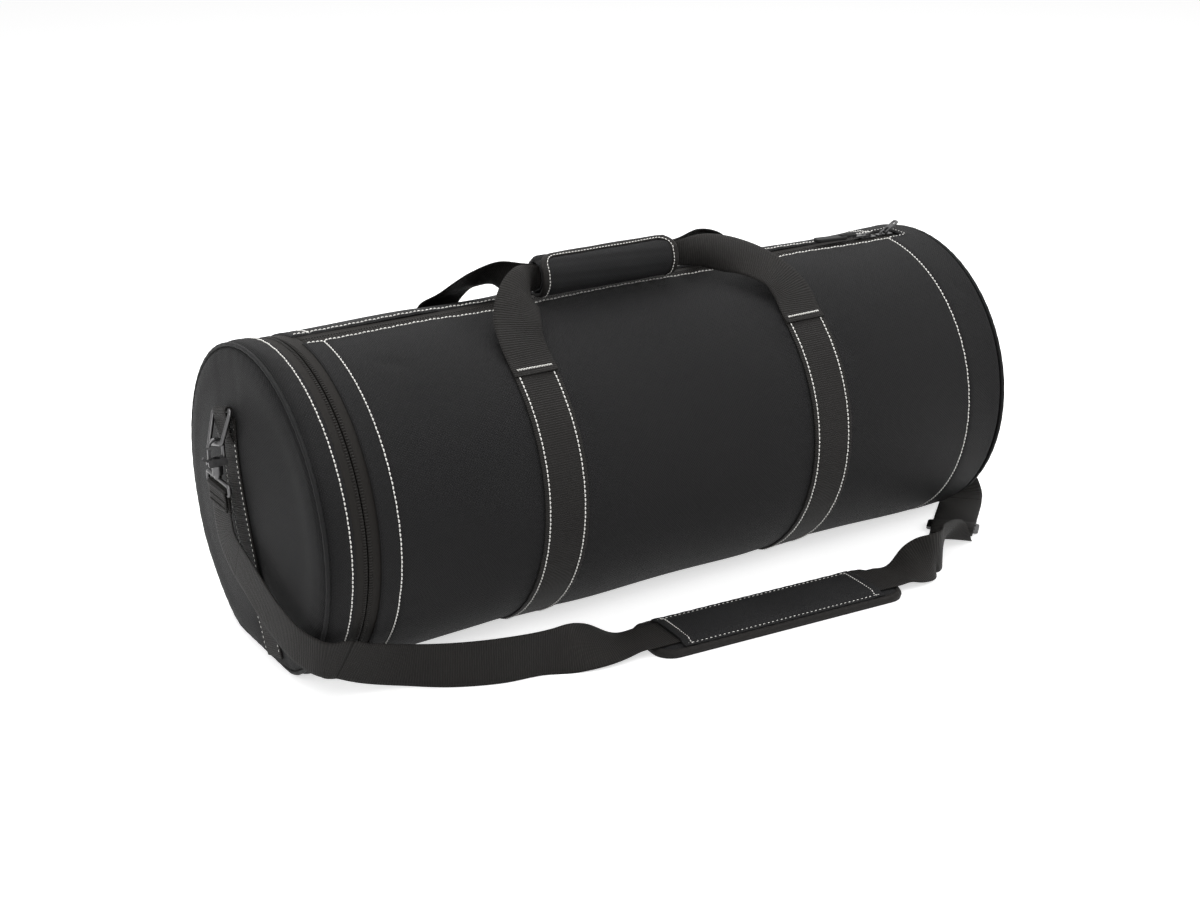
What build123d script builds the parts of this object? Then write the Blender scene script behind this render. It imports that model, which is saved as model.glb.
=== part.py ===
"""Padded round carry case for a telescope tube: zipped end lid, top zip, carry grip and shoulder strap.

Millimetres. X runs along the case from the end lid (-X) to the closed end (+X), -Y is the front,
Z is up, and the origin is the middle of the flat underside.
"""

from build123d import *
import math
import os

os.makedirs("parts", exist_ok=True)

# ---------------------------------------------------------------- case body
case_length = 850.0  # seam to seam, without the domes of the two ends
case_radius = 170.0
floor_sag = 14.0  # how far the round section settles where it rests
sag_corner = 60.0  # radius where the flat underside turns into the round wall
fabric = 2.0  # backed outer cloth
foam = 9.0
lining = 1.0
layer_gap = 0.3  # between stacked soft layers
end_dome = 15.0  # how far each filled end stands out at its middle
piping_radius = 2.2

# ---------------------------------------------------------------- webbing
band_width = 50.0
band_thickness = 1.6
band_left_x = -163.0
band_right_x = 175.0
cap_web_width = 38.0
cap_web_lean = 15.0  # degrees that the webbing on the ends leans back
cap_web_top = 105.0  # distance from the case axis to the ring bar
tack_angle = 52.0  # where the handles leave the case, degrees up from the front

# ---------------------------------------------------------------- zips
tape_width = 16.0  # each side
tape_thickness = 0.8
tape_clearance = 0.3  # tape to the cloth over it
coil_width = 4.0
coil_height = 2.2
zip_slit = 1.4  # between the two coils, where the slider's neck runs
zip_reveal = 13.0  # cloth edge to zip centre
slider_length = 21.0
slider_width = 10.5
slider_plate = 1.8
slider_gap = 0.6  # plate to tape, and plate to coil
neck_thickness = 0.8
lid_depth = 44.0  # end seam to the centre of the lid's zip
lid_hinge_top = 30.0  # the lid's zip stops this far above the floor, at both ends
zip_garage_low = 12.0  # the parked slider lies in an opening from here up to the hinge's top
top_zip_margin = 33.0  # right seam to the end of the top zip
slider_spacing = 25.0

# ---------------------------------------------------------------- metal ware
ring_wire = 2.2  # radius
ring_top_width = 49.0
ring_low_width = 36.0
ring_drop = 34.0
ring_corner = 4.0
hook_wire = 2.0
hook_bow = 5.5  # inner radius
running_gap = 0.05
eye_inner_width = 52.0
eye_wire = 2.0

# ---------------------------------------------------------------- grip and shoulder pad
grip_length = 165.0
grip_x = -23.0
grip_y = -18.0
grip_z = 352.5
grip_half_depth = 19.0
grip_half_height = 21.0
wrap_skin = 3.4
pad_length = 310.0
pad_width = 80.0
pad_foam = 6.0
pad_skin = 1.2
pad_x = 60.0
pad_y = -214.0
pad_turn = -3.5  # degrees in plan

# ---------------------------------------------------------------- worked out from the above
axis_height = case_radius - floor_sag
half = case_length / 2
seam_left = -half
seam_right = half
lid_zip_x = seam_left + lid_depth
body_edge_x = lid_zip_x + zip_reveal
lid_edge_x = lid_zip_x - zip_reveal
dome_radius = (case_radius**2 + end_dome**2) / (2 * end_dome)
foam_inset = fabric + layer_gap
lining_inset = foam_inset + foam + layer_gap
cavity_inset = lining_inset + lining
tape_inset = fabric + tape_clearance
coil_inset = tape_inset + tape_thickness
top_zip_end = seam_right - top_zip_margin
far = 4 * case_length


def save(name, shape):
    """Writes one sub-part under its own name."""
    export_step(shape, f"parts/{name}.step")


def block(x0, x1, y0, y1, z0, z1):
    """A box between two corners."""
    return Pos((x0 + x1) / 2, (y0 + y1) / 2, (z0 + z1) / 2) * Box(x1 - x0, y1 - y0, z1 - z0)


def section(inset):
    """The case's cross-section pulled in by inset: round, flat underneath, with soft corners."""
    radius = case_radius - inset
    disc = Pos(0, axis_height) * Circle(radius)
    above = Pos(0, inset + far / 2) * Rectangle(far, far)
    cut = disc & above
    return fillet(cut.vertices(), sag_corner - inset)


def prism(x0, x1, inset):
    """The section at inset, from x0 to x1."""
    return Pos(x0, 0, 0) * extrude(Plane.YZ * section(inset), x1 - x0)


def tube(x0, x1, outer, inner):
    """A wall between two insets, from x0 to x1."""
    return prism(x0, x1, outer) - prism(x0, x1, inner)


def below(z):
    """Everything under a height."""
    return block(-far, far, -far, far, -far, z)


def dome(side, depth):
    """A ball whose skin is an end's outer face, moved inward by depth."""
    centre = side * (half + end_dome - dome_radius)
    return Pos(centre, 0, axis_height) * Sphere(dome_radius - depth)


def end_layer(side, depth, thickness, inset):
    """One domed layer of an end: cloth, foam or lining."""
    reach = end_dome + depth + thickness + 5
    x0, x1 = (seam_left - reach, 0) if side < 0 else (0, seam_right + reach)
    whole = prism(x0, x1, inset)
    return (whole & dome(side, depth)) - dome(side, depth + thickness)


def lean(shape):
    """Turns a shape about the case's axis by the lean of the webbing on the ends."""
    return Pos(0, 0, axis_height) * (Rot(-cap_web_lean, 0, 0) * (Pos(0, 0, -axis_height) * shape))


def ribbon(sections):
    """Webbing through (centre, travel, width direction, width, thickness) sections."""
    faces = []
    for centre, travel, across, width, thickness in sections:
        frame = Plane(origin=centre, x_dir=across, z_dir=travel)
        faces.append(frame * Rectangle(width, thickness))
    return loft(faces, ruled=True)


def strap(stations, width=band_width, thickness=band_thickness):
    """A ribbon of one width through (centre, travel, across) stations."""
    return ribbon([(c, t, a, width, thickness) for c, t, a in stations])


def on_case(angle, lift=0.0):
    """Y and Z of a point on the round wall, with the angle up from the front."""
    turn = math.radians(angle)
    radius = case_radius + lift
    return -radius * math.cos(turn), axis_height + radius * math.sin(turn)


# ================================================================ body
top_slot = block(body_edge_x - 1, top_zip_end, -zip_reveal, zip_reveal, axis_height, far)
tape_tail = 10.0  # how far the top tapes run on under the cloth
inner_slot_side = tape_width + 1
inner_slot_end = top_zip_end + tape_tail + 1
inner_slot = block(body_edge_x - 1, inner_slot_end, -inner_slot_side, inner_slot_side, axis_height, far)
end_foam_depth = fabric + layer_gap
end_lining_depth = end_foam_depth + foam + layer_gap
wall_end = seam_right - 2 * piping_radius - layer_gap


def band_groove(x):
    """Where a band is pressed into the underside."""
    flat = case_radius * math.sin(math.acos(axis_height / case_radius)) - sag_corner * 0.2
    return block(x - band_width / 2, x + band_width / 2, -flat, flat, 0, band_thickness)


body_shell = tube(body_edge_x, wall_end, 0, fabric) - top_slot
for band_x in (band_left_x, band_right_x):
    body_shell -= band_groove(band_x)
save("body_shell", body_shell)

inner_stop = seam_right - end_lining_depth - lining - 3  # the end's own layers sit past here
foam_start = lid_zip_x + tape_width + layer_gap
save("body_foam", tube(foam_start, inner_stop, foam_inset, foam_inset + foam) - inner_slot)
save("body_lining", tube(foam_start, inner_stop, lining_inset, cavity_inset) - inner_slot)

hinge_strip = tube(seam_left + 2.4 * piping_radius, body_edge_x, 0, fabric) & below(lid_hinge_top)
hinge_strip -= block(lid_edge_x, body_edge_x, -far, far, zip_garage_low, far)
save("lid_hinge_strip", hinge_strip)


# ================================================================ ends
def piping(side):
    """The covered cord sewn round an end's seam."""
    path = (Plane.YZ * section(piping_radius)).wire()
    ring = sweep(Plane(origin=path @ 0, z_dir=path % 0) * Circle(piping_radius), path)
    return Pos(side * (half - piping_radius), 0, 0) * ring


for side, name in ((-1, "lid"), (1, "end")):
    save(f"{name}_panel", end_layer(side, 0, fabric, 2 * piping_radius + layer_gap))
    save(f"{name}_foam", end_layer(side, end_foam_depth, foam, 2 * piping_radius + layer_gap))
    save(f"{name}_lining", end_layer(side, end_lining_depth, lining, 2 * piping_radius + layer_gap))
    save(f"{name}_piping", piping(side))

above_hinge = block(-far, far, -far, far, lid_hinge_top + layer_gap, far)
rim_start = seam_left + 2 * piping_radius + layer_gap
rim = tube(rim_start, lid_edge_x, 0, fabric) & above_hinge
save("lid_rim", rim)
rim_foam_start = seam_left + end_lining_depth + lining + 2 * layer_gap
rim_foam_end = lid_zip_x - tape_width - layer_gap
rim_foam = tube(rim_foam_start, rim_foam_end, foam_inset, foam_inset + foam) & above_hinge
save("lid_rim_foam", rim_foam)


# ================================================================ webbing on the ends
def end_webbing(side):
    """Webbing down an end, from the ring's bar to the underside."""
    skin = dome(side, -band_thickness) - dome(side, 0)
    x0, x1 = (-far, 0) if side < 0 else (0, far)
    strip = block(x0, x1, -cap_web_width / 2, cap_web_width / 2, -far, axis_height + cap_web_top)
    inside = prism(x0 / 4, x1 / 4, 2 * piping_radius + 1)
    return skin & lean(strip) & inside


def dome_x(side, radius):
    """X of an end's outer face at a distance from the case's axis."""
    return side * (half + end_dome - dome_radius + math.sqrt(dome_radius**2 - radius**2))


loop_bore = ring_wire + 0.3
loop_radius = loop_bore + band_thickness
bar_stand = loop_radius + band_thickness + 0.2
ring_rest_tilt = 22.0  # degrees that the ring stands away from the end, to clear the hook


def end_frame(side):
    """Local frame at the ring's bar: x outward from the end, y along the bar, z up the webbing."""
    turn = math.radians(cap_web_lean)
    bar = Vector(
        dome_x(side, cap_web_top) + side * bar_stand,
        cap_web_top * math.sin(turn),
        axis_height + cap_web_top * math.cos(turn),
    )
    return Plane(origin=bar, x_dir=(side, 0, 0), z_dir=(0, math.sin(turn), math.cos(turn)))


def webbing_loop(side):
    """The webbing's top end, turned round the ring's bar."""
    loop = Rot(90, 0, 0) * (Cylinder(loop_radius, cap_web_width) - Cylinder(loop_bore, far))
    return end_frame(side).location * loop


def d_ring(side):
    """A flat-topped ring of round wire that hangs from its bar."""
    top, low = ring_top_width / 2, ring_low_width / 2
    corners = [(0, -top, 0), (0, top, 0), (0, low, -ring_drop), (0, -low, -ring_drop)]
    path = FilletPolyline(*corners, radius=ring_corner, close=True)
    wire = sweep(Plane(origin=path @ 0, z_dir=path % 0) * Circle(ring_wire), path)
    return end_frame(side).location * (Rot(0, -ring_rest_tilt, 0) * wire)


def ring_low_point(side):
    """Middle of the ring's lower bar."""
    local = Rot(0, -ring_rest_tilt, 0) * Pos(0, 0, -ring_drop)
    return (end_frame(side).location * local).position


# ================================================================ snap hooks
bow_line = hook_bow + hook_wire
bow_centre = -(hook_bow - ring_wire - 0.3)
base_top = bow_centre - 12.0
base_low = base_top - 8.0
barrel_low = base_low - 9.0
barrel_radius = 5.5
stem_radius = 1.8
rivet_radius = 3.2
rivet_height = 1.5
gate_pivot = (bow_line, base_top - 3.5)
gate_pin = 1.2
gate_thickness = 3.0
base_half = 4.2
eye_top = barrel_low - 5.0
eye_low = eye_top - 10.0


def hook_place(side):
    """Hook frame: hangs straight down from the ring's lower bar, gate outward."""
    return Location(Plane(origin=ring_low_point(side), x_dir=(side, 0, 0), z_dir=(0, 0, 1)))


def hook_body():
    """Bow, slotted base and barrel of the snap hook."""
    tip = (bow_line * math.cos(0.1), 0, bow_centre + bow_line * math.sin(0.1))
    crown = (0, 0, bow_centre + bow_line)
    left = (-bow_line, 0, bow_centre)
    foot = (-bow_line, 0, base_top - 2)
    bow_path = Wire([ThreePointArc(tip, crown, left).edge(), Line(left, foot).edge()])
    bow = sweep(Plane(origin=bow_path @ 0, z_dir=bow_path % 0) * Circle(hook_wire), bow_path)
    base = block(-10, 10, -base_half, base_half, base_low, base_top)
    base = fillet(base.edges().filter_by(Axis.Y), 2.5)
    barrel = Pos(0, 0, (base_low + barrel_low) / 2) * Cylinder(barrel_radius, base_low - barrel_low)
    body = base + bow + barrel
    bore = Cylinder(stem_radius + running_gap, far)
    well_floor = base_low - 3
    well_top = base_top + 0.5
    well = Pos(0, 0, (well_floor + well_top) / 2) * Cylinder(rivet_radius + 0.3, well_top - well_floor)
    slot_side = gate_thickness / 2 + 0.3
    slot = block(bow_line - 3.4, 11, -slot_side, slot_side, base_low - 0.1, base_top + 0.1)
    pin_hole = Pos(gate_pivot[0], 0, gate_pivot[1]) * (Rot(90, 0, 0) * Cylinder(gate_pin + running_gap, 20))
    return body - bore - well - slot - pin_hole


def hook_gate():
    """The sprung gate with its thumb lever and pivot pin."""
    x, z = gate_pivot
    half_thick = gate_thickness / 2
    bar_top = bow_centre - hook_wire - 0.4 + bow_line * math.sin(0.1) - 0.4
    bar = block(x - 1.5, x + 1.5, -half_thick, half_thick, z - 2, bar_top)
    boss = Pos(x, 0, z) * (Rot(90, 0, 0) * Cylinder(2.6, gate_thickness))
    lever = Pos(x, 0, z) * (Rot(0, 50, 0) * block(-1.2, 1.2, -half_thick, half_thick, 0, 9))
    pin = Pos(x, 0, z) * (Rot(90, 0, 0) * Cylinder(gate_pin, 2 * base_half))
    return bar + boss + lever + pin


def hook_eye():
    """Swivel stem with its rivet head, and the wide loop for the strap."""
    well_floor = base_low - 3
    head = Pos(0, 0, well_floor + 0.3 + rivet_height / 2) * Cylinder(rivet_radius, rivet_height)
    stem_top = well_floor + 0.3
    stem = Pos(0, 0, (stem_top + eye_top) / 2) * Cylinder(stem_radius, stem_top - eye_top)
    collar_top = barrel_low - 0.3
    collar = Pos(0, 0, (collar_top + eye_top) / 2) * Cylinder(3.5, collar_top - eye_top)
    out = eye_inner_width / 2 + eye_wire
    corners = [(0, -out, eye_top), (0, out, eye_top), (0, out, eye_low), (0, -out, eye_low)]
    path = FilletPolyline(*corners, radius=eye_wire * 1.5, close=True)
    loop = sweep(Plane(origin=path @ 0, z_dir=path % 0) * Circle(eye_wire), path)
    return head + stem + collar + loop


for side, name in ((-1, "left"), (1, "right")):
    save(f"end_webbing_{name}", Compound([end_webbing(side).solid(), webbing_loop(side).solid()]))
    save(f"d_ring_{name}", d_ring(side))
    save(f"snap_hook_{name}", hook_place(side) * hook_body())
    save(f"hook_gate_{name}", hook_place(side) * hook_gate())
    save(f"hook_eye_{name}", hook_place(side) * hook_eye())


# ================================================================ bands round the body
tack_height = on_case(tack_angle)[1]


def band(x):
    """Webbing round the case, pressed into the underside where the case rests."""
    ring = tube(x - band_width / 2, x + band_width / 2, -band_thickness, 0)
    return (ring & block(-far, far, -far, far, 0, tack_height)) + band_groove(x)


save("body_bands", Compound([band(x).solid() for x in (band_left_x, band_right_x)]))

# ================================================================ lid zip
def ring_strip(x0, x1, outer, inner):
    """A ring round the round part of the case, above the flat underside."""
    return tube(x0, x1, outer, inner) & block(-far, far, -far, far, 8, far)


body_tape = ring_strip(lid_zip_x + zip_slit / 2, lid_zip_x + tape_width, tape_inset, coil_inset)
lid_tape = ring_strip(lid_zip_x - tape_width, lid_zip_x - zip_slit / 2, tape_inset, coil_inset)
coil_out = zip_slit / 2 + coil_width
body_coil = ring_strip(lid_zip_x + zip_slit / 2, lid_zip_x + coil_out, coil_inset, coil_inset + coil_height)
lid_coil = ring_strip(lid_zip_x - coil_out, lid_zip_x - zip_slit / 2, coil_inset, coil_inset + coil_height)
save("lid_zip_tape_body", body_tape)
save("lid_zip_coil_body", body_coil)
save("lid_zip_tape_lid", lid_tape & above_hinge)
save("lid_zip_coil_lid", lid_coil & above_hinge)
save("lid_zip_ends", (lid_tape + lid_coil) & below(lid_hinge_top))


# ================================================================ sliders
def slider(height):
    """A zip slider, nose towards -X, on a tape whose upper face is at height."""
    low = height - tape_thickness - coil_height
    top_z = height + slider_gap
    bottom_z = low - slider_gap
    long, wide = slider_length / 2, slider_width / 2
    outline = Polyline((-long, -wide * 0.7), (long, -wide), (long, wide), (-long, wide * 0.7), close=True)
    face = fillet(make_face(outline).vertices(), 2.0)
    upper = Pos(0, 0, top_z) * extrude(face, slider_plate)
    lower = Pos(0, 0, bottom_z - slider_plate) * extrude(face, slider_plate)
    neck = block(-long + 1, -long + 7, -neck_thickness / 2, neck_thickness / 2, bottom_z - 1, top_z + 1)
    bridge_x = 6.0
    arch = Rot(90, 0, 0) * (Cylinder(bridge_x, 3.2) - Cylinder(bridge_x - 1.6, 4))
    arch = Pos(0, 0, top_z + slider_plate - 1.8) * (arch & block(-9, 9, -3, 3, 0, 9))
    return upper + lower + neck + (arch & block(-9, 9, -3, 3, top_z + 0.5, far))


def bridge_axis(height):
    """Height of the pull's pivot above a tape."""
    return height + slider_gap + slider_plate + 1.5


def pull_plate(height, length):
    """A flat metal pull hooked under the slider's bridge, lying towards -X."""
    z = bridge_axis(height)
    pin = Rot(90, 0, 0) * Cylinder(0.9, 8.4)
    arms = block(-9, 0, -4.2, -2.2, -0.9, 0.9) + block(-9, 0, 2.2, 4.2, -0.9, 0.9)
    tongue = block(-length, -8, -4.2, 4.2, -0.9, 0.9)
    tongue = fillet(tongue.edges().filter_by(Axis.Z).group_by(Axis.X)[0], 2.5)
    hole = Pos(-length + 4.5, 0, 0) * Cylinder(2.0, 10)
    return Pos(0, 0, z) * (pin + arms + tongue - hole)


top_tape_z = axis_height + math.sqrt((case_radius - fabric) ** 2 - tape_width**2) - tape_clearance
tape_start = lid_zip_x + tape_width + 0.5
tape_stop = top_zip_end + tape_tail
tape_low = top_tape_z - tape_thickness
slit_side = zip_slit / 2
tape_half = block(tape_start, tape_stop, slit_side, tape_width, tape_low, top_tape_z)
coil_low = tape_low - coil_height
coil_half = block(tape_start, top_zip_end, slit_side, slit_side + coil_width, coil_low, tape_low)
save("top_zip_tapes", Compound([tape_half.solid(), mirror(tape_half, Plane.XZ).solid()]))
save("top_zip_coils", Compound([coil_half.solid(), mirror(coil_half, Plane.XZ).solid()]))

slider_b_x = top_zip_end - slider_length / 2 - 4
slider_a_x = slider_b_x - slider_spacing
pull_length = 22.0
tab_start = pull_length + 10.0
tab_length = 45.0
tab_width = 12.0
tab_thickness = 4.0
cord_radius = 1.3
save("top_slider_a", Pos(slider_a_x, 0, 0) * slider(top_tape_z))
save("top_slider_b", Pos(slider_b_x, 0, 0) * slider(top_tape_z))
pull_z = bridge_axis(top_tape_z)
pull_a_lift, pull_b_lift = 3.0, 30.0  # degrees that the resting pulls stand up from the cloth


def at_pull_a(shape):
    """Places a piece built along -X from the pivot onto slider a's pivot."""
    return Pos(slider_a_x, 0, pull_z) * (Rot(0, pull_a_lift, 0) * shape)


flat_pull = Pos(0, 0, -pull_z) * pull_plate(top_tape_z, pull_length)
save("top_pull_a", at_pull_a(flat_pull))
save("top_pull_b", Pos(slider_b_x, 0, pull_z) * (Rot(0, -pull_b_lift, 0) * (Rot(0, 0, 180) * flat_pull)))

cord_from = -pull_length + 4.5
tab = Pos(-tab_start - tab_length / 2, 0, 0) * Box(tab_length, tab_width, tab_thickness)
tab = fillet(tab.edges().filter_by(Axis.Z), 5.0)
tab = fillet(tab.edges().group_by(Axis.Z)[-1] + tab.edges().group_by(Axis.Z)[0], 1.2)
cord_side = 2.0
cord_run = tab_start + 4 + cord_from
cord_corners = [(0, -cord_side), (cord_run, -cord_side), (cord_run, cord_side), (0, cord_side)]
loop_path = FilletPolyline(*[(cord_from - x, y, 0) for x, y in cord_corners], radius=1.9, close=True)
pull_cord = sweep(Plane(origin=loop_path @ 0.3, z_dir=loop_path % 0.3) * Circle(cord_radius), loop_path)
cord_lift = 0.9 + cord_radius + 0.1
save("pull_cord", at_pull_a(Pos(0, 0, cord_lift) * pull_cord))
tab_slot = Box(14, 2 * (cord_side + cord_radius) + 0.4, 2 * cord_radius + 0.4)
tab_slot = Pos(-tab_start - 2, 0, cord_lift) * tab_slot
save("pull_tab", at_pull_a(Pos(0, 0, 0.6) * tab - tab_slot))


def on_lid_zip(shape):
    """Places a piece built on a flat tape at height 0 onto the lid's zip at the parked angle."""
    turn = math.asin((lid_slider_height - axis_height) / case_radius)
    out = (0, math.cos(turn), math.sin(turn))
    along = (0, math.sin(turn), -math.cos(turn))
    radius = case_radius - tape_inset
    centre = (lid_zip_x, radius * out[1], axis_height + radius * out[2])
    return Plane(origin=centre, x_dir=along, z_dir=out).location * shape


lid_slider_height = (zip_garage_low + lid_hinge_top) / 2 - 1
save("lid_slider", on_lid_zip(slider(0)))
save("lid_pull", on_lid_zip(Rot(0, 0, 180) * pull_plate(0, pull_length)))


# ================================================================ carry handles
handle_fold_width = 24.0
handle_fold_thickness = 3.2
core_reach = 3.0  # how far the folded webbing stands out of the wrap
core_side = 2.4  # each webbing's middle from the grip's middle
along_x, up = (1, 0, 0), (0, 0, 1)
core_half = grip_length / 2 + core_reach


def handle_leg(front, side, tack_x):
    """Webbing from its tack on a band up to the end of the grip."""
    face = -1 if front else 1
    tack_y, tack_z = on_case(tack_angle - 3, 1.5 * band_thickness + layer_gap)
    knee_y, knee_z = on_case(tack_angle + 10, 12.0)
    end_x = grip_x + side * core_half
    core_y = grip_y + face * core_side
    shift = end_x - tack_x
    slope = math.radians(90 - tack_angle)
    width, thick = band_width, band_thickness
    stations = [
        ((tack_x, -face * tack_y, tack_z), (0, -face * math.cos(slope), math.sin(slope)), along_x, width, thick),
        ((tack_x, -face * knee_y, knee_z), (0, -face * 0.5, 0.85), along_x, width, thick),
        (
            (tack_x + 0.15 * shift, face * 62 + grip_y * 0.3, grip_z - 18),
            (-side * 0.2, -face * 0.8, 0.5), (0.96, -face * side * 0.2, 0), width, thick,
        ),
        (
            (tack_x + 0.5 * shift, face * 32 + grip_y * 0.6, grip_z - 2),
            (-side * 0.75, -face * 0.6, 0.1), (0.5, -face * side * 0.4, side * 0.7), 40, 2.0,
        ),
        (
            (tack_x + 0.85 * shift, grip_y + face * (core_side + 5), grip_z),
            (-side, -face * 0.15, 0), (0, 0, side), 30, 2.6,
        ),
        ((end_x, core_y, grip_z), (-side, 0, 0), (0, 0, side), handle_fold_width, handle_fold_thickness),
    ]
    return ribbon(stations)


cores = []
for front, name in ((True, "front"), (False, "back")):
    face = -1 if front else 1
    core_y = grip_y + face * core_side
    save(f"handle_leg_{name}_left", handle_leg(front, -1, band_left_x))
    save(f"handle_leg_{name}_right", handle_leg(front, 1, band_right_x))
    y0, y1 = core_y - handle_fold_thickness / 2, core_y + handle_fold_thickness / 2
    z0, z1 = grip_z - handle_fold_width / 2, grip_z + handle_fold_width / 2
    cores.append(block(grip_x - core_half, grip_x + core_half, y0, y1, z0, z1).solid())
save("handle_core", Compound(cores))

# ================================================================ padded grip
binding_width = 7.0
wrap_inner = (12.0, 13.6)
wrap_split = (grip_half_depth - wrap_skin, grip_half_height - wrap_skin)


def grip_roll(depth, height, x0, x1):
    """A solid roll of oval section along the grip."""
    oval = Pos(grip_y, grip_z) * Ellipse(depth, height)
    return Pos(x0, 0, 0) * extrude(Plane.YZ * oval, x1 - x0)


grip_x0, grip_x1 = grip_x - grip_length / 2, grip_x + grip_length / 2
front_half = block(-far, far, -far, grip_y - layer_gap, 0, far)
back_half = block(-far, far, grip_y, far, 0, far)
outer_roll = grip_roll(grip_half_depth, grip_half_height, grip_x0, grip_x1)
split_roll = grip_roll(*wrap_split, grip_x0, grip_x1)
inner_roll = grip_roll(*wrap_inner, grip_x0 - 1, grip_x1 + 1)
grip_wrap = (split_roll + (outer_roll & back_half)) - inner_roll
save("grip_wrap", grip_wrap)

split_gap = grip_roll(wrap_split[0] + layer_gap, wrap_split[1] + layer_gap, grip_x0 - 1, grip_x1 + 1)
flap_all = (outer_roll - split_gap) & front_half
flap_top = grip_z + grip_half_height * 0.75
flap_face = block(grip_x0 + binding_width, grip_x1 - binding_width, -far, far, 0, flap_top)
save("grip_flap", flap_all & flap_face)
save("grip_flap_binding", flap_all - flap_face)

# ================================================================ shoulder pad
pad_frame = Plane(origin=(pad_x, pad_y, 0)).rotated((0, 0, pad_turn)).location
pad_backing = 1.2
foam_low = pad_backing + layer_gap
foam_high = foam_low + pad_foam
cloth_low = foam_high + layer_gap
cloth_high = cloth_low + 0.6
strap_low = cloth_high + 0.4
strap_middle = strap_low + band_thickness / 2
sleeve_low = cloth_high + layer_gap
sleeve_high = strap_low + band_thickness + layer_gap + pad_skin
sleeve_length = 250.0
pad_corner = 22.0
pad_edge = 4.5
pad_slide = 15.0


def pad_slab(x, y, corner, z0, z1):
    """A flat slab with round corners, centred on the pad."""
    return Pos(0, 0, z0) * extrude(RectangleRounded(x, y, corner), z1 - z0)


inner_x, inner_y = pad_length - 2 * pad_edge, pad_width - 2 * pad_edge
inner_corner = pad_corner - pad_edge
binding = pad_slab(pad_length, pad_width, pad_corner, foam_low, cloth_high)
binding -= pad_slab(inner_x + 2 * layer_gap, inner_y + 2 * layer_gap, inner_corner + layer_gap, 0, far)
sleeve = pad_slab(sleeve_length, inner_y, 2.0, sleeve_low, sleeve_high)
tunnel_top = strap_low + band_thickness + layer_gap
sleeve -= block(-far, far, -band_width / 2 - 1.2, band_width / 2 + 1.2, cloth_high, tunnel_top)
save("pad_backing", pad_frame * pad_slab(pad_length, pad_width, pad_corner, 0, pad_backing))
save("pad_foam", pad_frame * pad_slab(inner_x, inner_y, inner_corner, foam_low, foam_high))
save("pad_cloth", pad_frame * pad_slab(inner_x, inner_y, inner_corner, cloth_low, cloth_high))
save("pad_binding", pad_frame * binding)
save("pad_sleeve", pad_frame * sleeve)

# ================================================================ shoulder strap
edge_z = band_width / 2  # middle of webbing that stands on its edge
flat_z = band_thickness / 2
flat_half = pad_length / 2 + pad_slide + 3


def pad_point(along, z):
    """A point on the pad's middle line, measured along it."""
    turn = math.radians(pad_turn)
    return (pad_x + along * math.cos(turn), pad_y + along * math.sin(turn), z)


pad_dir = (math.cos(math.radians(pad_turn)), math.sin(math.radians(pad_turn)), 0)
pad_across = (-pad_dir[1], pad_dir[0], 0)
pad_in, pad_out = pad_point(-flat_half, strap_middle), pad_point(flat_half, strap_middle)
corner_in = (-404.0, -152.5, 48.5)  # here the webbing still stands clear of the floor
corner_across = Vector(0, -0.35, 0.94)
save("strap_pad_run", strap([(pad_in, pad_dir, pad_across), (pad_out, pad_dir, pad_across)]))
save("strap_floor_left", strap([
    (corner_in, (1, -0.1, -0.4), corner_across),
    ((-386, -154, 41), (1, -0.1, -0.35), Vector(0, -0.3, 0.95)),
    ((-345, -158.5, 29), (1, -0.3, -0.2), Vector(0, -0.2, 0.98)),
    ((-303, -177, 25), (0.9, -0.42, 0), up),
    ((-257, -195, edge_z), (0.97, -0.22, 0), up),
    ((-206, -205, edge_z), (1, -0.08, 0), up),
    ((-160, -206, 20), (1, 0, 0), (0, 0.7, 0.7)),
    (pad_in, pad_dir, pad_across),
]))
glide_dir = Vector(-0.74, -0.67, 0).normalized()
glide_across = Vector(0.67, -0.74, 0).normalized()
floor_corner = Vector(450, -82, flat_z)
glide_along = 95.0
glide_slide_out, glide_slide_in = 12.0, 45.0
flat_end = floor_corner + glide_dir * (glide_along + glide_slide_out + 18)
save("strap_floor_right", strap([
    (pad_out, pad_dir, pad_across),
    ((256, -228, 19), (1, -0.05, 0), (0, 0.7, 0.7)),
    ((276, -230, edge_z), (1, 0, 0), up),
    ((288, -227, edge_z), (0.9, 0.4, 0), up),
    ((299, -217, edge_z), -glide_dir, up),
    ((330, -188, 20), -glide_dir, glide_across * 0.7 + Vector(0, 0, 0.7)),
    (flat_end, -glide_dir, glide_across),
    (floor_corner, -glide_dir, glide_across),
]))


def eye_bar(side):
    """Middle of the eye's lower bar, where the strap's sewn end hangs."""
    return (hook_place(side) * Pos(0, 0, eye_low)).position


end_loop_bore = eye_wire + 0.3
end_loop_radius = end_loop_bore + band_thickness


def strap_end(side):
    """The strap's end turned round the eye's lower bar."""
    roll = Rot(90, 0, 0) * (Cylinder(end_loop_radius, band_width) - Cylinder(end_loop_bore, far))
    return (Pos(*eye_bar(side)) * roll).solid()


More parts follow.
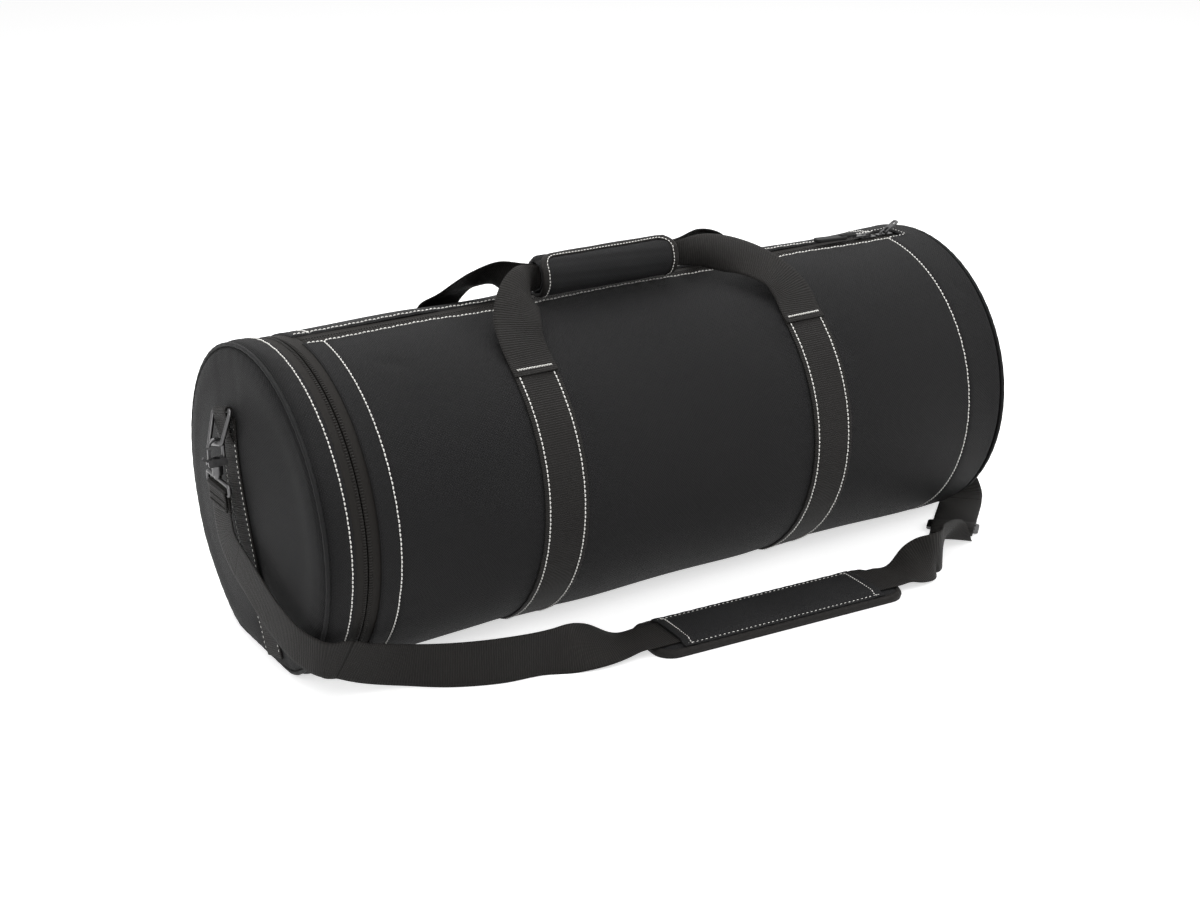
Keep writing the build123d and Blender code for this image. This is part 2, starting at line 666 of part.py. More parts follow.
drop = Vector(0, 0, -end_loop_radius - 0.05)
left_top, right_top = Vector(*eye_bar(-1)) + drop, Vector(*eye_bar(1)) + drop
leg_left = strap([
    (left_top, (0, 0, -1), (0, -1, 0)),
    ((left_top.X, left_top.Y - 8, left_top.Z - 45), (0, -0.35, -0.94), (0, -0.94, 0.35)),
    ((left_top.X + 3, -45, 98), (0, -0.8, -0.6), (0, -0.6, 0.8)),
    ((left_top.X + 7, -85, 76), (0.15, -0.85, -0.5), (0, -0.6, 0.8)),
    ((-438.5, -126, 60), (0.4, -0.8, -0.35), (0, -0.5, 0.86)),
    ((-424, -150.5, 53), (0.8, -0.45, -0.35), (0, -0.42, 0.9)),
    (corner_in, (1, -0.1, -0.4), corner_across),
])
save("strap_leg_left", Compound([leg_left.solid(), strap_end(-1)]))
leg_right = strap([
    (floor_corner, -glide_dir, glide_across),
    ((462, -68, 4), (0.6, 0.6, 0.5), glide_across),
    ((right_top.X + 6, -45, 28), (0, 0.4, 0.9), (0.35, -0.9, 0)),
    ((right_top.X, right_top.Y - 12, right_top.Z - 60), (0, 0.1, 1), (0, -1, 0)),
    (right_top, (0, 0, 1), (0, -1, 0)),
])
save("strap_leg_right", Compound([leg_right.solid(), strap_end(1)]))

# ================================================================ tri-glide
glide_length, glide_depth, glide_thick = 60.0, 24.0, 3.0
glide_low = band_thickness + layer_gap
glide_middle = floor_corner + glide_dir * glide_along - Vector(0, 0, flat_z)
glide_plane = Plane(origin=glide_middle, x_dir=glide_dir, z_dir=up)
glide = Pos(0, 0, glide_low) * extrude(RectangleRounded(glide_depth, glide_length, 4.0), glide_thick)
for slot_x in (-5.5, 5.5):
    glide -= Pos(slot_x, 0, 0) * extrude(RectangleRounded(7.0, band_width + 2, 1.5), far)
save("tri_glide", glide_plane.location * glide)
bight_low = glide_low + glide_thick + 0.3
bight_high = bight_low + band_thickness
bight_side = 2.4  # middle bar's middle to the webbing round it
bight_out = bight_side + band_thickness
bight_round = block(-bight_out, bight_out, -band_width / 2, band_width / 2, glide_low, bight_high)
bight = bight_round - block(-bight_side, bight_side, -far, far, 0, bight_low)
save("glide_webbing", glide_plane.location * bight)
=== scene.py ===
# %% [markdown]
# # A padded round carry case for a telescope tube
# The case is sewn from coated woven cloth: a long tube with a zip along its top, a domed lid on a zip at one
# end, a domed panel at the other, a wrapped grip, and a shoulder strap with a pad that lies along the front.
# The CAD model already fixes every size and every joint. This script keeps its metal parts, and sews new
# cloth, webbing, piping, zips and stitches round the rest. It first loads that model and notes its outer box.

# %% Load the frame
import math

import bpy
import numpy as np
from mathutils import Matrix, Vector


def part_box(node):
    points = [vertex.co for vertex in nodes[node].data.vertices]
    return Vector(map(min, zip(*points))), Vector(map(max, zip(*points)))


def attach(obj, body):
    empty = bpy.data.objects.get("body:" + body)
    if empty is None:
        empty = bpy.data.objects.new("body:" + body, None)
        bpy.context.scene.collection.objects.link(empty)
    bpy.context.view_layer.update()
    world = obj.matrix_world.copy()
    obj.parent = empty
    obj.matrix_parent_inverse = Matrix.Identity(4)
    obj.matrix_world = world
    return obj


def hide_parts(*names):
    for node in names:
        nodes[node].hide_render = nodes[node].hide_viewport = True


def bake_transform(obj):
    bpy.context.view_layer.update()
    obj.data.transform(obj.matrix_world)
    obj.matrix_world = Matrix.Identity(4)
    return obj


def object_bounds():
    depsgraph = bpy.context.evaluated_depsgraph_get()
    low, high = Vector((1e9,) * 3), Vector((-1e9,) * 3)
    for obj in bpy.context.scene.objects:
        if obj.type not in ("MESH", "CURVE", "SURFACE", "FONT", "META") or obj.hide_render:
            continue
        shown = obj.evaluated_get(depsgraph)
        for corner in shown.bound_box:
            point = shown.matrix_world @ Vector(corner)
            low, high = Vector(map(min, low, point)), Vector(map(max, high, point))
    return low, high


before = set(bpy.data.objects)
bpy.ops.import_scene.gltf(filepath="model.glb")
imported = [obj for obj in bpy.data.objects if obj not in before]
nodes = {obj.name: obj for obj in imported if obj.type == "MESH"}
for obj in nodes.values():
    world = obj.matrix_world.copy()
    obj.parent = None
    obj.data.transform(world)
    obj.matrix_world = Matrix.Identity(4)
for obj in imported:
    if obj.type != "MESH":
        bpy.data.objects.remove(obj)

MM = 0.001
cad_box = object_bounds()
print("CAD box in metres:", [tuple(round(c, 3) for c in corner) for corner in cad_box])

# %% [markdown]
# ## The camera
# The camera stands 0.9 m above the floor, to the left of the case's front. Blender cameras look along
# their own -Z, so three plain vectors, right, up and backward, make the rotation with no trial and error.

# %% Camera
EYE = Vector((-1.0861, -1.7030, 0.9014))
YAW, PITCH, ROLL = (math.radians(a) for a in (32.12, 20.85, -0.37))
forward = Vector((math.sin(YAW) * math.cos(PITCH), math.cos(YAW) * math.cos(PITCH), -math.sin(PITCH)))
level = Vector((math.cos(YAW), -math.sin(YAW), 0))
upward = level.cross(forward)
right = level * math.cos(ROLL) + upward * math.sin(ROLL)
top = upward * math.cos(ROLL) - level * math.sin(ROLL)
lens = bpy.data.cameras.new("camera")
lens.lens, lens.sensor_width, lens.clip_start = 58.31, 36.0, 0.05
camera = bpy.data.objects.new("camera", lens)
turned = Matrix((right, top, -forward)).transposed().to_4x4()
camera.matrix_world = Matrix.Translation(EYE) @ turned
bpy.context.scene.collection.objects.link(camera)
bpy.context.scene.camera = camera
print("camera stands", round((EYE - Vector((0, 0, 0.16))).length, 2), "m from the case's middle")

# %% [markdown]
# ## Light, floor and backdrop
# Black cloth shows its form only by soft highlights, so three large area lamps and an even world surround it.
# The floor should look pure white but still keep the case's shadow. Brighter lamps would burn out the case,
# so the floor adds a little light of its own for camera and mirror rays only.

# %% Light and floor
scene = bpy.context.scene
scene.view_settings.view_transform = "Standard"


def lamp(name, place, target, size, watts):
    """A square area lamp that faces a point."""
    data = bpy.data.lights.new(name, "AREA")
    data.size, data.energy = size, watts
    made = bpy.data.objects.new(name, data)
    made.location = place
    made.rotation_euler = (Vector(target) - Vector(place)).to_track_quat("-Z", "Y").to_euler()
    scene.collection.objects.link(made)
    return made


lamp("softbox_left", (-1.9, -1.7, 1.9), (0, 0, 0.15), 1.6, 34)
lamp("softbox_right", (1.9, -1.3, 1.5), (0.1, 0, 0.15), 1.5, 24)
lamp("overhead", (0.0, 0.4, 2.4), (0, 0, 0.2), 2.0, 62)


class Signal:
    """A shader socket with Python's operators, so that node maths reads as arithmetic."""

    def __init__(self, paint, socket):
        self.paint, self.socket = paint, socket

    def math(self, operation, *others):
        return self.paint.add("ShaderNodeMath", {"operation": operation}, [self, *others])

    def __add__(self, other):
        return self.math("ADD", other)

    def __sub__(self, other):
        return self.math("SUBTRACT", other)

    def __rsub__(self, other):
        return self.paint.add("ShaderNodeMath", {"operation": "SUBTRACT"}, [other, self])

    def __mul__(self, other):
        return self.math("MULTIPLY", other)

    def __truediv__(self, other):
        return self.math("DIVIDE", other)

    def __pow__(self, other):
        return self.math("POWER", other)

    def __abs__(self):
        return self.math("ABSOLUTE")

    def sin(self):
        return self.math("SINE")

    def between(self, low, high):
        """0 below low, 1 above high, and smooth in between."""
        settings = {"interpolation_type": "SMOOTHSTEP"}
        return self.paint.add("ShaderNodeMapRange", settings,
                              {"Value": self, "From Min": low, "From Max": high})

    __radd__, __rmul__ = __add__, __mul__


class Paint:
    """One material and its nodes."""

    def __init__(self, name):
        self.material = bpy.data.materials.new(name)
        self.material.use_nodes = True
        self.tree = self.material.node_tree
        self.tree.nodes.clear()

    def add(self, kind, settings, sockets, output=0):
        """A node of a kind: its settings first, then a value or a link for each socket. Returns one output."""
        node = self.tree.nodes.new(kind)
        for key, value in settings.items():
            if key == "stops":
                ramp = node.color_ramp
                while len(ramp.elements) < len(value):
                    ramp.elements.new(0.5)
                for element, (place, colour) in zip(ramp.elements, value):
                    element.position, element.color = place, colour
            else:
                setattr(node, key, value)
        pairs = sockets.items() if isinstance(sockets, dict) else enumerate(sockets)
        for key, value in pairs:
            if isinstance(value, Signal):
                self.tree.links.new(value.socket, node.inputs[key])
            else:
                node.inputs[key].default_value = value
        return Signal(self, node.outputs[output]) if len(node.outputs) else None

    def blend(self, low, high, share):
        """A colour that runs from low to high with a value."""
        settings = {"data_type": "RGBA"}
        sockets = {0: share, 6: (*low, 1) if len(low) == 3 else low, 7: (*high, 1)}
        return self.add("ShaderNodeMix", settings, sockets, 2)

    def sewn(self):
        """Distance along a piece of cloth and across it, in metres."""
        place = self.add("ShaderNodeUVMap", {"uv_map": "cloth"}, [])
        return (self.add("ShaderNodeSeparateXYZ", {}, [place], 0),
                self.add("ShaderNodeSeparateXYZ", {}, [place], 1))

    def cloud(self, scale, detail=2.0):
        """Soft uneven patches, scale of them to the metre."""
        place = self.add("ShaderNodeTexCoord", {}, [], 3)
        return self.add("ShaderNodeTexNoise", {}, {"Vector": place, "Scale": scale, "Detail": detail})

    def bump(self, height, millimetres):
        """A normal that is tipped by a height of so many millimetres."""
        return self.add("ShaderNodeBump", {},
                        {"Strength": 1.0, "Distance": millimetres * MM, "Height": height})

    def finish(self, **sockets):
        """The surface itself. Keys are the sockets of the Principled shader, with _ for a space."""
        named = {key.replace("_", " "): value for key, value in sockets.items()}
        skin = self.add("ShaderNodeBsdfPrincipled", {}, named)
        self.add("ShaderNodeOutputMaterial", {}, {"Surface": skin})
        return self.material


world = bpy.data.worlds.new("studio")
world.use_nodes = True
world.node_tree.nodes.clear()
sky = Paint.__new__(Paint)
sky.tree = world.node_tree
seen = sky.add("ShaderNodeLightPath", {}, [], 0)
mirrored = sky.add("ShaderNodeLightPath", {}, [], 3)
WORLD_LIGHT = 0.38
strength = (seen + mirrored).between(0, 1) * (1 - WORLD_LIGHT) + WORLD_LIGHT
glow = sky.add("ShaderNodeBackground", {}, {"Color": (1, 1, 1, 1), "Strength": strength})
sky.add("ShaderNodeOutputWorld", {}, {"Surface": glow})
scene.world = world

floor_paint = Paint("studio_floor")
seen = floor_paint.add("ShaderNodeLightPath", {}, [], 0) + floor_paint.add("ShaderNodeLightPath", {}, [], 3)
matt = floor_paint.add("ShaderNodeBsdfDiffuse", {}, {"Color": (0.8, 0.8, 0.8, 1)})
own = floor_paint.add("ShaderNodeEmission", {},
                      {"Color": (1, 1, 1, 1), "Strength": seen.between(0, 1) * 0.62})
both = floor_paint.add("ShaderNodeAddShader", {}, [matt, own])
floor_paint.add("ShaderNodeOutputMaterial", {}, {"Surface": both})
half = 12.0
data = bpy.data.meshes.new("floor")
data.from_pydata([(-half, -half, 0), (half, -half, 0), (half, half, 0), (-half, half, 0)], [], [(0, 1, 2, 3)])
data.materials.append(floor_paint.material)
floor = bpy.data.objects.new("floor", data)
floor.location.z = cad_box[0].z - 0.0006
scene.collection.objects.link(floor)
print("floor at", round(floor.location.z, 4))

# %% [markdown]
# ## Finishes
# Every black here is a different black: the coated cloth is cool and even with a basket weave, webbing is a
# little brown and ribbed across, zip tape is a fine herringbone, and the metal is gunmetal. Image textures
# would fix the detail to one size, so the weaves are waves along the cloth itself: each sewn piece carries a
# map named cloth, whose numbers are metres along and across it, so that a thread is a thread's width on every
# piece.

# %% Cloth finishes
def waves(along, pitch_mm):
    """Ridges across a direction: 0 in the grooves and 1 on the ridges."""
    return (along * (2 * math.pi / (pitch_mm * MM))).sin() * 0.5 + 0.5


def woven(name, dark, light, pitch_mm, depth_mm, rough, sheen):
    """Basket weave: two sets of threads that take turns on top."""
    paint = Paint(name)
    along, across = paint.sewn()
    warp, weft = waves(along, pitch_mm), waves(across, pitch_mm)
    over = waves(along, 2 * pitch_mm).between(0.4, 0.6)
    under = waves(across, 2 * pitch_mm).between(0.4, 0.6)
    turn = abs(over - under)
    threads = warp * turn + weft * (1 - turn)
    patches = paint.cloud(9.0)
    fuzz = paint.cloud(900.0, 1.0)
    tone = threads * 0.35 + patches * 0.75 + fuzz * 0.3 - 0.25
    return paint.finish(
        Base_Color=paint.blend(dark, light, tone),
        Roughness=rough + patches * 0.12 - threads * 0.08,
        Specular_IOR_Level=0.13,
        Sheen_Weight=sheen,
        Sheen_Roughness=0.45,
        Normal=paint.bump(threads + fuzz * 0.25, depth_mm),
    )


def ribbed(name, dark, light, rib_mm, depth_mm, rough):
    """Webbing: ribs across its length, with fine threads along it and firm edges."""
    paint = Paint(name)
    along, across = paint.sewn()
    ribs = waves(along, rib_mm)
    threads = waves(across, 0.9)
    patches = paint.cloud(14.0)
    tone = ribs * 0.45 + threads * 0.2 + patches * 0.6 - 0.15
    height = ribs + threads * 0.35
    return paint.finish(
        Base_Color=paint.blend(dark, light, tone),
        Roughness=rough + patches * 0.14 - ribs * 0.07,
        Specular_IOR_Level=0.15,
        Sheen_Weight=0.012,
        Sheen_Roughness=0.5,
        Normal=paint.bump(height, depth_mm),
    )


case_cloth = woven("coated_polyester", (0.0032, 0.0032, 0.0036), (0.0125, 0.0122, 0.0125), 1.6, 0.5, 0.62,
                   0.012)
grip_cloth = woven("padded_polyester", (0.0042, 0.0042, 0.0046), (0.0150, 0.0150, 0.0155), 1.4, 0.4, 0.6,
                   0.015)
lining_cloth = woven("nylon_lining", (0.010, 0.010, 0.011), (0.03, 0.03, 0.032), 0.8, 0.1, 0.5, 0.02)
webbing = ribbed("webbing", (0.0036, 0.0032, 0.0029), (0.0170, 0.0155, 0.0142), 2.4, 0.5, 0.58)
zip_tape = ribbed("zip_tape", (0.0046, 0.0040, 0.0034), (0.0150, 0.0132, 0.0115), 1.0, 0.15, 0.66)
binding_tape = ribbed("grosgrain_binding", (0.0040, 0.0034, 0.0031), (0.0145, 0.0128, 0.0118), 1.3, 0.25,
                      0.55)
piping_cloth = woven("piping_cloth", (0.0036, 0.0036, 0.0038), (0.012, 0.012, 0.0125), 1.0, 0.2, 0.5, 0.012)
print("cloth finishes:", len(bpy.data.materials) - 1)


# %% [markdown]
# Thread, coil, moulded plastic, dimpled backing and metal need no map of their own: noise in the piece's own
# space is enough. Thread is off-white and slightly fuzzy, so its roughness is high. Gunmetal is dark, with
# uneven brighter patches here and there.

# %% Thread, plastic and metal finishes
def plain(name, dark, light, grain_scale, depth_mm, rough, metal=0.0, sheen=0.0, coat=0.0):
    """A finish with grain, uneven tone and uneven gloss."""
    paint = Paint(name)
    grain = paint.cloud(grain_scale, 3.0)
    patches = paint.cloud(35.0, 3.0)
    return paint.finish(
        Base_Color=paint.blend(dark, light, grain * 0.5 + patches * 0.6),
        Roughness=rough + patches * 0.2 - 0.1 + grain * 0.06,
        Metallic=metal,
        Specular_IOR_Level=0.5 if metal else 0.2,
        Sheen_Weight=sheen,
        Coat_Weight=coat,
        Normal=paint.bump(grain, depth_mm),
    )


thread = plain("bonded_thread", (0.60, 0.585, 0.55), (0.88, 0.87, 0.84), 1600.0, 0.12, 0.72, sheen=0.2)
coil_nylon = plain("nylon_coil", (0.005, 0.0046, 0.004), (0.016, 0.0145, 0.013), 700.0, 0.03, 0.42)
soft_plastic = plain("moulded_pull", (0.004, 0.004, 0.004), (0.010, 0.010, 0.010), 1100.0, 0.06, 0.5)
gunmetal = plain("gunmetal", (0.030, 0.030, 0.031), (0.16, 0.158, 0.16), 260.0, 0.02, 0.33, metal=1.0)
cord_cloth = plain("braided_cord", (0.004, 0.004, 0.004), (0.014, 0.014, 0.014), 900.0, 0.2, 0.7, sheen=0.02)
backing = plain("dimpled_backing", (0.005, 0.0045, 0.0044), (0.014, 0.013, 0.0125), 420.0, 0.35, 0.62,
                sheen=0.01)
print("all finishes:", len(bpy.data.materials) - 1)

# %% [markdown]
# ## Sewing tools
# All cloth here is made as a grid of points with a normal at each, because a grid keeps threads straight and
# takes a map in metres. A real piece of cloth has two faces and an edge, so `slab` gives the grid an inner
# face and closes every open border, and the result is always a closed solid.

# %% Sewing tools
def new_piece(name, points, faces, paint, maps=None):
    """A smooth mesh piece from points in millimetres, with its map in metres for each face corner."""
    made = bpy.data.meshes.new(name)
    made.from_pydata((np.asarray(points) * MM).tolist(), [], [list(map(int, f)) for f in faces])
    if maps is not None:
        layer = made.uv_layers.new(name="cloth")
        layer.data.foreach_set("uv", np.asarray(maps, np.float32).ravel())
    made.polygons.foreach_set("use_smooth", [True] * len(made.polygons))
    made.materials.append(paint)
    piece = bpy.data.objects.new(name, made)
    scene.collection.objects.link(piece)
    return piece


def grid_faces(rows, columns, closed=False, keep=None):
    """Quads of a grid as point numbers, and as (row, column) places for the map."""
    quads, places = [], []
    for i in range(rows - 1):
        for j in range(columns if closed else columns - 1):
            if keep is not None and not keep(i, j):
                continue
            k = (j + 1) % columns
            quads.append((i * columns + j, i * columns + k, (i + 1) * columns + k, (i + 1) * columns + j))
            places.append(((i, j), (i, j + 1), (i + 1, j + 1), (i + 1, j)))
    return quads, places


def slab(name, outer, normals, thickness, maps, paint, closed=False, keep=None):
    """Cloth of a thickness. outer and normals are (rows, columns, 3), and maps is (rows, columns [+1], 2) in mm."""
    rows, columns = outer.shape[:2]
    quads, places = grid_faces(rows, columns, closed, keep)
    depth = np.broadcast_to(np.asarray(thickness, float), (rows, columns))[..., None]
    inner = outer - normals * depth
    count = rows * columns
    points = np.concatenate([outer.reshape(-1, 3), inner.reshape(-1, 3)])
    middle = len(quads) // 2
    a, b, c, d = (points[n] for n in quads[middle])
    flip = np.dot(np.cross(b - a, d - a), normals.reshape(-1, 3)[quads[middle][0]]) < 0
    faces, spots, rims = [], [], {}
    for quad, place in zip(quads, places):
        front, where = (quad[::-1], place[::-1]) if flip else (quad, place)
        faces.append(front)
        spots.append(where)
        faces.append(tuple(n + count for n in front[::-1]))
        spots.append(where[::-1])
        for n in range(4):
            m = (n + 1) % 4
            rims[front[n], front[m]] = (where[n], where[m])
    for (p, q), (u, v) in list(rims.items()):
        if (q, p) not in rims:
            faces.append((q, p, p + count, q + count))
            spots.append((v, u, u, v))
    used = sorted({n for f in faces for n in f})
    renumber = {n: i for i, n in enumerate(used)}
    faces = [tuple(renumber[n] for n in f) for f in faces]
    table = np.asarray(maps) * MM
    uv = np.array([table[p] for four in spots for p in four])
    return new_piece(name, points[used], faces, paint, uv)


def unit(v):
    """Vectors made one long."""
    v = np.asarray(v, float)
    return v / np.maximum(np.linalg.norm(v, axis=-1, keepdims=True), 1e-12)


def grid_normals(p, closed=False):
    """Normals of a grid of points, from its rows and columns."""
    if closed:
        wide = np.concatenate([p[:, -1:], p, p[:, :1]], 1)
        across = (wide[:, 2:] - wide[:, :-2]) / 2
    else:
        across = np.gradient(p, axis=1)
    return unit(np.cross(np.gradient(p, axis=0), across))


def spline(points, count):
    """A smooth line through points, at even steps along it."""
    p = np.asarray(points, float)
    steps = np.linalg.norm(np.diff(p[:, :3], axis=0), axis=1) ** 0.5
    knots = np.concatenate([[0], np.cumsum(steps)])
    slopes = np.gradient(p, knots, axis=0) if len(p) > 2 else np.repeat(np.diff(p, axis=0) / knots[-1], 2, 0)

    def at(t):
        i = np.clip(np.searchsorted(knots, t, side="right") - 1, 0, len(p) - 2)
        h = (knots[i + 1] - knots[i])[:, None]
        s = ((t - knots[i]) / h[:, 0])[:, None]
        return ((2 * s**3 - 3 * s**2 + 1) * p[i] + (s**3 - 2 * s**2 + s) * h * slopes[i]
                + (3 * s**2 - 2 * s**3) * p[i + 1] + (s**3 - s**2) * h * slopes[i + 1])

    fine = at(np.linspace(0, knots[-1], 40 * len(p)))
    lengths = np.concatenate([[0], np.cumsum(np.linalg.norm(np.diff(fine[:, :3], axis=0), axis=1))])
    ts = np.interp(np.linspace(0, lengths[-1], count), lengths, np.linspace(0, knots[-1], len(fine)))
    return at(ts), lengths[-1]


print("sewing tools ready")

# %% [markdown]
# ## Stitches
# A line of lockstitch is a row of short fat strands that dive into the cloth at both ends. Drawing it in the
# colour would vanish in a close view, so each strand is a small capsule. One capsule is worked out once and
# then placed along the line by numbers, so that thousands of stitches stay quick.

# %% Stitches
STITCH_PITCH, STITCH_LONG, STITCH_WIDE = 4.6, 3.8, 1.5
ring_places = [(-0.5, 0.15, -0.5), (-0.42, 0.75, -0.12), (-0.15, 1.0, 0.22), (0.15, 1.0, 0.22),
               (0.42, 0.75, -0.12), (0.5, 0.15, -0.5)]
capsule = np.array([
    (x, 0.5 * size * math.cos(2 * math.pi * k / 6), lift + 0.42 * size * math.sin(2 * math.pi * k / 6))
    for x, size, lift in ring_places for k in range(6)
])
capsule_faces = [(6 * i + k, 6 * i + (k + 1) % 6, 6 * i + 6 + (k + 1) % 6,
                  6 * i + 6 + k) for i in range(5) for k in range(6)]
capsule_faces += [tuple(range(5, -1, -1)), tuple(range(30, 36))]


class Seams:
    """Gathers stitch lines that share a body, and makes them one piece."""

    def __init__(self, name):
        self.name, self.points, self.faces, self.count = name, [], [], 0

    def strand(self, centre, along, normal, length, width):
        side = unit(np.cross(normal, along))
        local = capsule * (length, width, width)
        start = 36 * self.count
        self.points.append(centre + local[:, :1] * along + local[:, 1:2] * side + local[:, 2:] * normal)
        self.faces += [tuple(n + start for n in f) for f in capsule_faces]
        self.count += 1

    def line(self, points, normals, pitch=STITCH_PITCH, length=STITCH_LONG, width=STITCH_WIDE):
        """Stitches along a line of points that lies on the cloth."""
        p, n = np.asarray(points, float), np.asarray(normals, float)
        far = np.concatenate([[0], np.cumsum(np.linalg.norm(np.diff(p, axis=0), axis=1))])
        many = max(1, int(far[-1] / pitch))
        for s in (np.arange(many) + 0.5) * far[-1] / many:
            at, ahead, behind = (np.array([np.interp(t, far, p[:, c]) for c in range(3)])
                                 for t in (s, s + 1, s - 1))
            face = unit([np.interp(s, far, n[:, c]) for c in range(3)])
            self.strand(at, unit(ahead - behind), face, length, width)

    def bar(self, left, right, normal, depth=2.4, pitch=1.1):
        """A bar tack: close zigzag across webbing."""
        left, right, normal = (np.asarray(v, float) for v in (left, right, normal))
        across = unit(right - left)
        down = unit(np.cross(normal, across))
        many = int(np.linalg.norm(right - left) / pitch)
        for i in range(many):
            lean = 0.35 if i % 2 else -0.35
            middle = left + (right - left) * (i + 0.5) / many
            self.strand(middle, unit(down + across * lean), normal, depth, 0.95)

    def make(self):
        piece = new_piece(self.name, np.concatenate(self.points), self.faces, thread)
        print(self.name, self.count, "stitches")
        return piece


def swap(piece, *stands_for, body=None):
    """Rides a body and stands for CAD nodes."""
    if body:
        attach(piece, body)
    if stands_for:
        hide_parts(*stands_for)
    return piece


# %% [markdown]
# ## The case's outline
# Seen from its end the case is a circle that has settled onto a flat underside, with soft corners. Every ring
# of cloth, tape and webbing follows this one line at its own height, so the line gives a point and a normal
# for any distance round it. The distance starts under the case, and goes up the front, over the top and down
# the back.

# %% Outline
shell_low, shell_high = (np.array(c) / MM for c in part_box("body_shell"))
RADIUS = round(float(shell_high[1]), 2)
AXIS = round(float(shell_high[2]) - RADIUS, 2)
CORNER = 60.0
reach = RADIUS - CORNER
FLAT = math.sqrt(reach**2 - (AXIS - CORNER) ** 2)
low_turn = math.atan2(AXIS - CORNER, FLAT)
corner_run = CORNER * (math.pi / 2 - low_turn)
round_run = RADIUS * (math.pi + 2 * low_turn)
PERIMETER = 2 * FLAT + 2 * corner_run + round_run


def outline(distance, lift=0.0):
    """Points (y, z) and normals at distances round the case, lifted off its cloth."""
    s = np.asarray(distance, float) % PERIMETER
    mirror = np.where(s > PERIMETER / 2, 1.0, -1.0)
    s = np.minimum(s, PERIMETER - s)
    on_flat, on_corner = s < FLAT, s < FLAT + corner_run
    bend = np.where(on_corner, (s - FLAT) / CORNER, math.pi / 2 - low_turn + (s - FLAT - corner_run) / RADIUS)
    bend = np.where(on_flat, 0.0, bend)
    out, rise = np.sin(bend), -np.cos(bend)
    size = np.where(on_corner, CORNER, RADIUS) + lift
    y = np.where(on_flat, s, np.where(on_corner, FLAT, 0.0) + size * out)
    z = np.where(on_flat, -lift, np.where(on_corner, CORNER, AXIS) + size * rise)
    return np.stack([mirror * y, z], -1), np.stack([mirror * out, rise], -1)


def around_at(height, front=True):
    """Distance round the case to a height on its wall."""
    s = np.linspace(0, PERIMETER / 2 - 1e-6, 4000)
    z = outline(s)[0][:, 1]
    found = float(np.interp(height, z, s))
    return found if front else PERIMETER - found


def on_top(offset):
    """Distance round the case to a point so far in front of the top line, or behind it if negative."""
    return PERIMETER / 2 - offset


print("radius", RADIUS, "axis height", AXIS, "round the case", round(PERIMETER, 1), "mm")

# %% [markdown]
# ## The soft wall
# A padded bag is never a true cylinder. Its wall swells a little between the bands, is drawn in along every
# line of stitches, and puckers there in short ripples. Simulating a whole wall of stiff padded cloth would
# take long and change little, so the relief is one function of the place on the cloth. Everything sewn on the
# wall, such as the bands and the stitches, asks the same function how far the wall stands in or out.

# %% Relief of the wall
BANDS = (-163.0, 175.0)
BAND_WIDTH, BAND_THICK = 50.0, 1.6
TACK_HEIGHT = float(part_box("body_bands")[1][2]) / MM
ZIP_X = -381.0
LID_EDGE, BODY_EDGE = -394.0, -368.0
LID_SEAM_STITCH, BODY_STITCH, END_STITCH = -398.5, -347.0, 371.0
SLOT_SIDE, SLOT_END = 13.0, 392.0
SLOT_STITCH = 17.0
random = np.random.RandomState(7)
swell_waves = [(random.uniform(0.006, 0.03), random.uniform(0.006, 0.024),
                random.uniform(0, 6.3)) for _ in range(9)]
creases = [  # x and distance round the case at both ends, width, depth
    (-150, around_at(276), -120, around_at(222), 9, -0.8),
    (-196, around_at(278), -216, around_at(236), 9, -0.7),
    (202, around_at(278), 226, around_at(226), 9, -0.8),
    (148, around_at(284), 122, around_at(244), 9, -0.7),
    (-330, around_at(316), -272, around_at(300), 8, -1.0),
    (-360, around_at(118), -326, around_at(90), 9, -0.8),
    (-346, around_at(66), -306, around_at(34), 9, -0.8),
    (384, around_at(296), 412, around_at(266), 7, -0.8),
    (386, around_at(186), 412, around_at(146), 7, -0.8),
]


def ease(v, low, high):
    """0 below low, 1 above high and smooth between, for arrays."""
    t = np.clip((np.asarray(v, float) - low) / (high - low), 0, 1)
    return t * t * (3 - 2 * t)


def off_floor(s):
    """0 on the flat underside and 1 on the round wall."""
    s = np.asarray(s, float) % PERIMETER
    return ease(np.minimum(s, PERIMETER - s), FLAT * 0.7, FLAT + corner_run * 1.3)


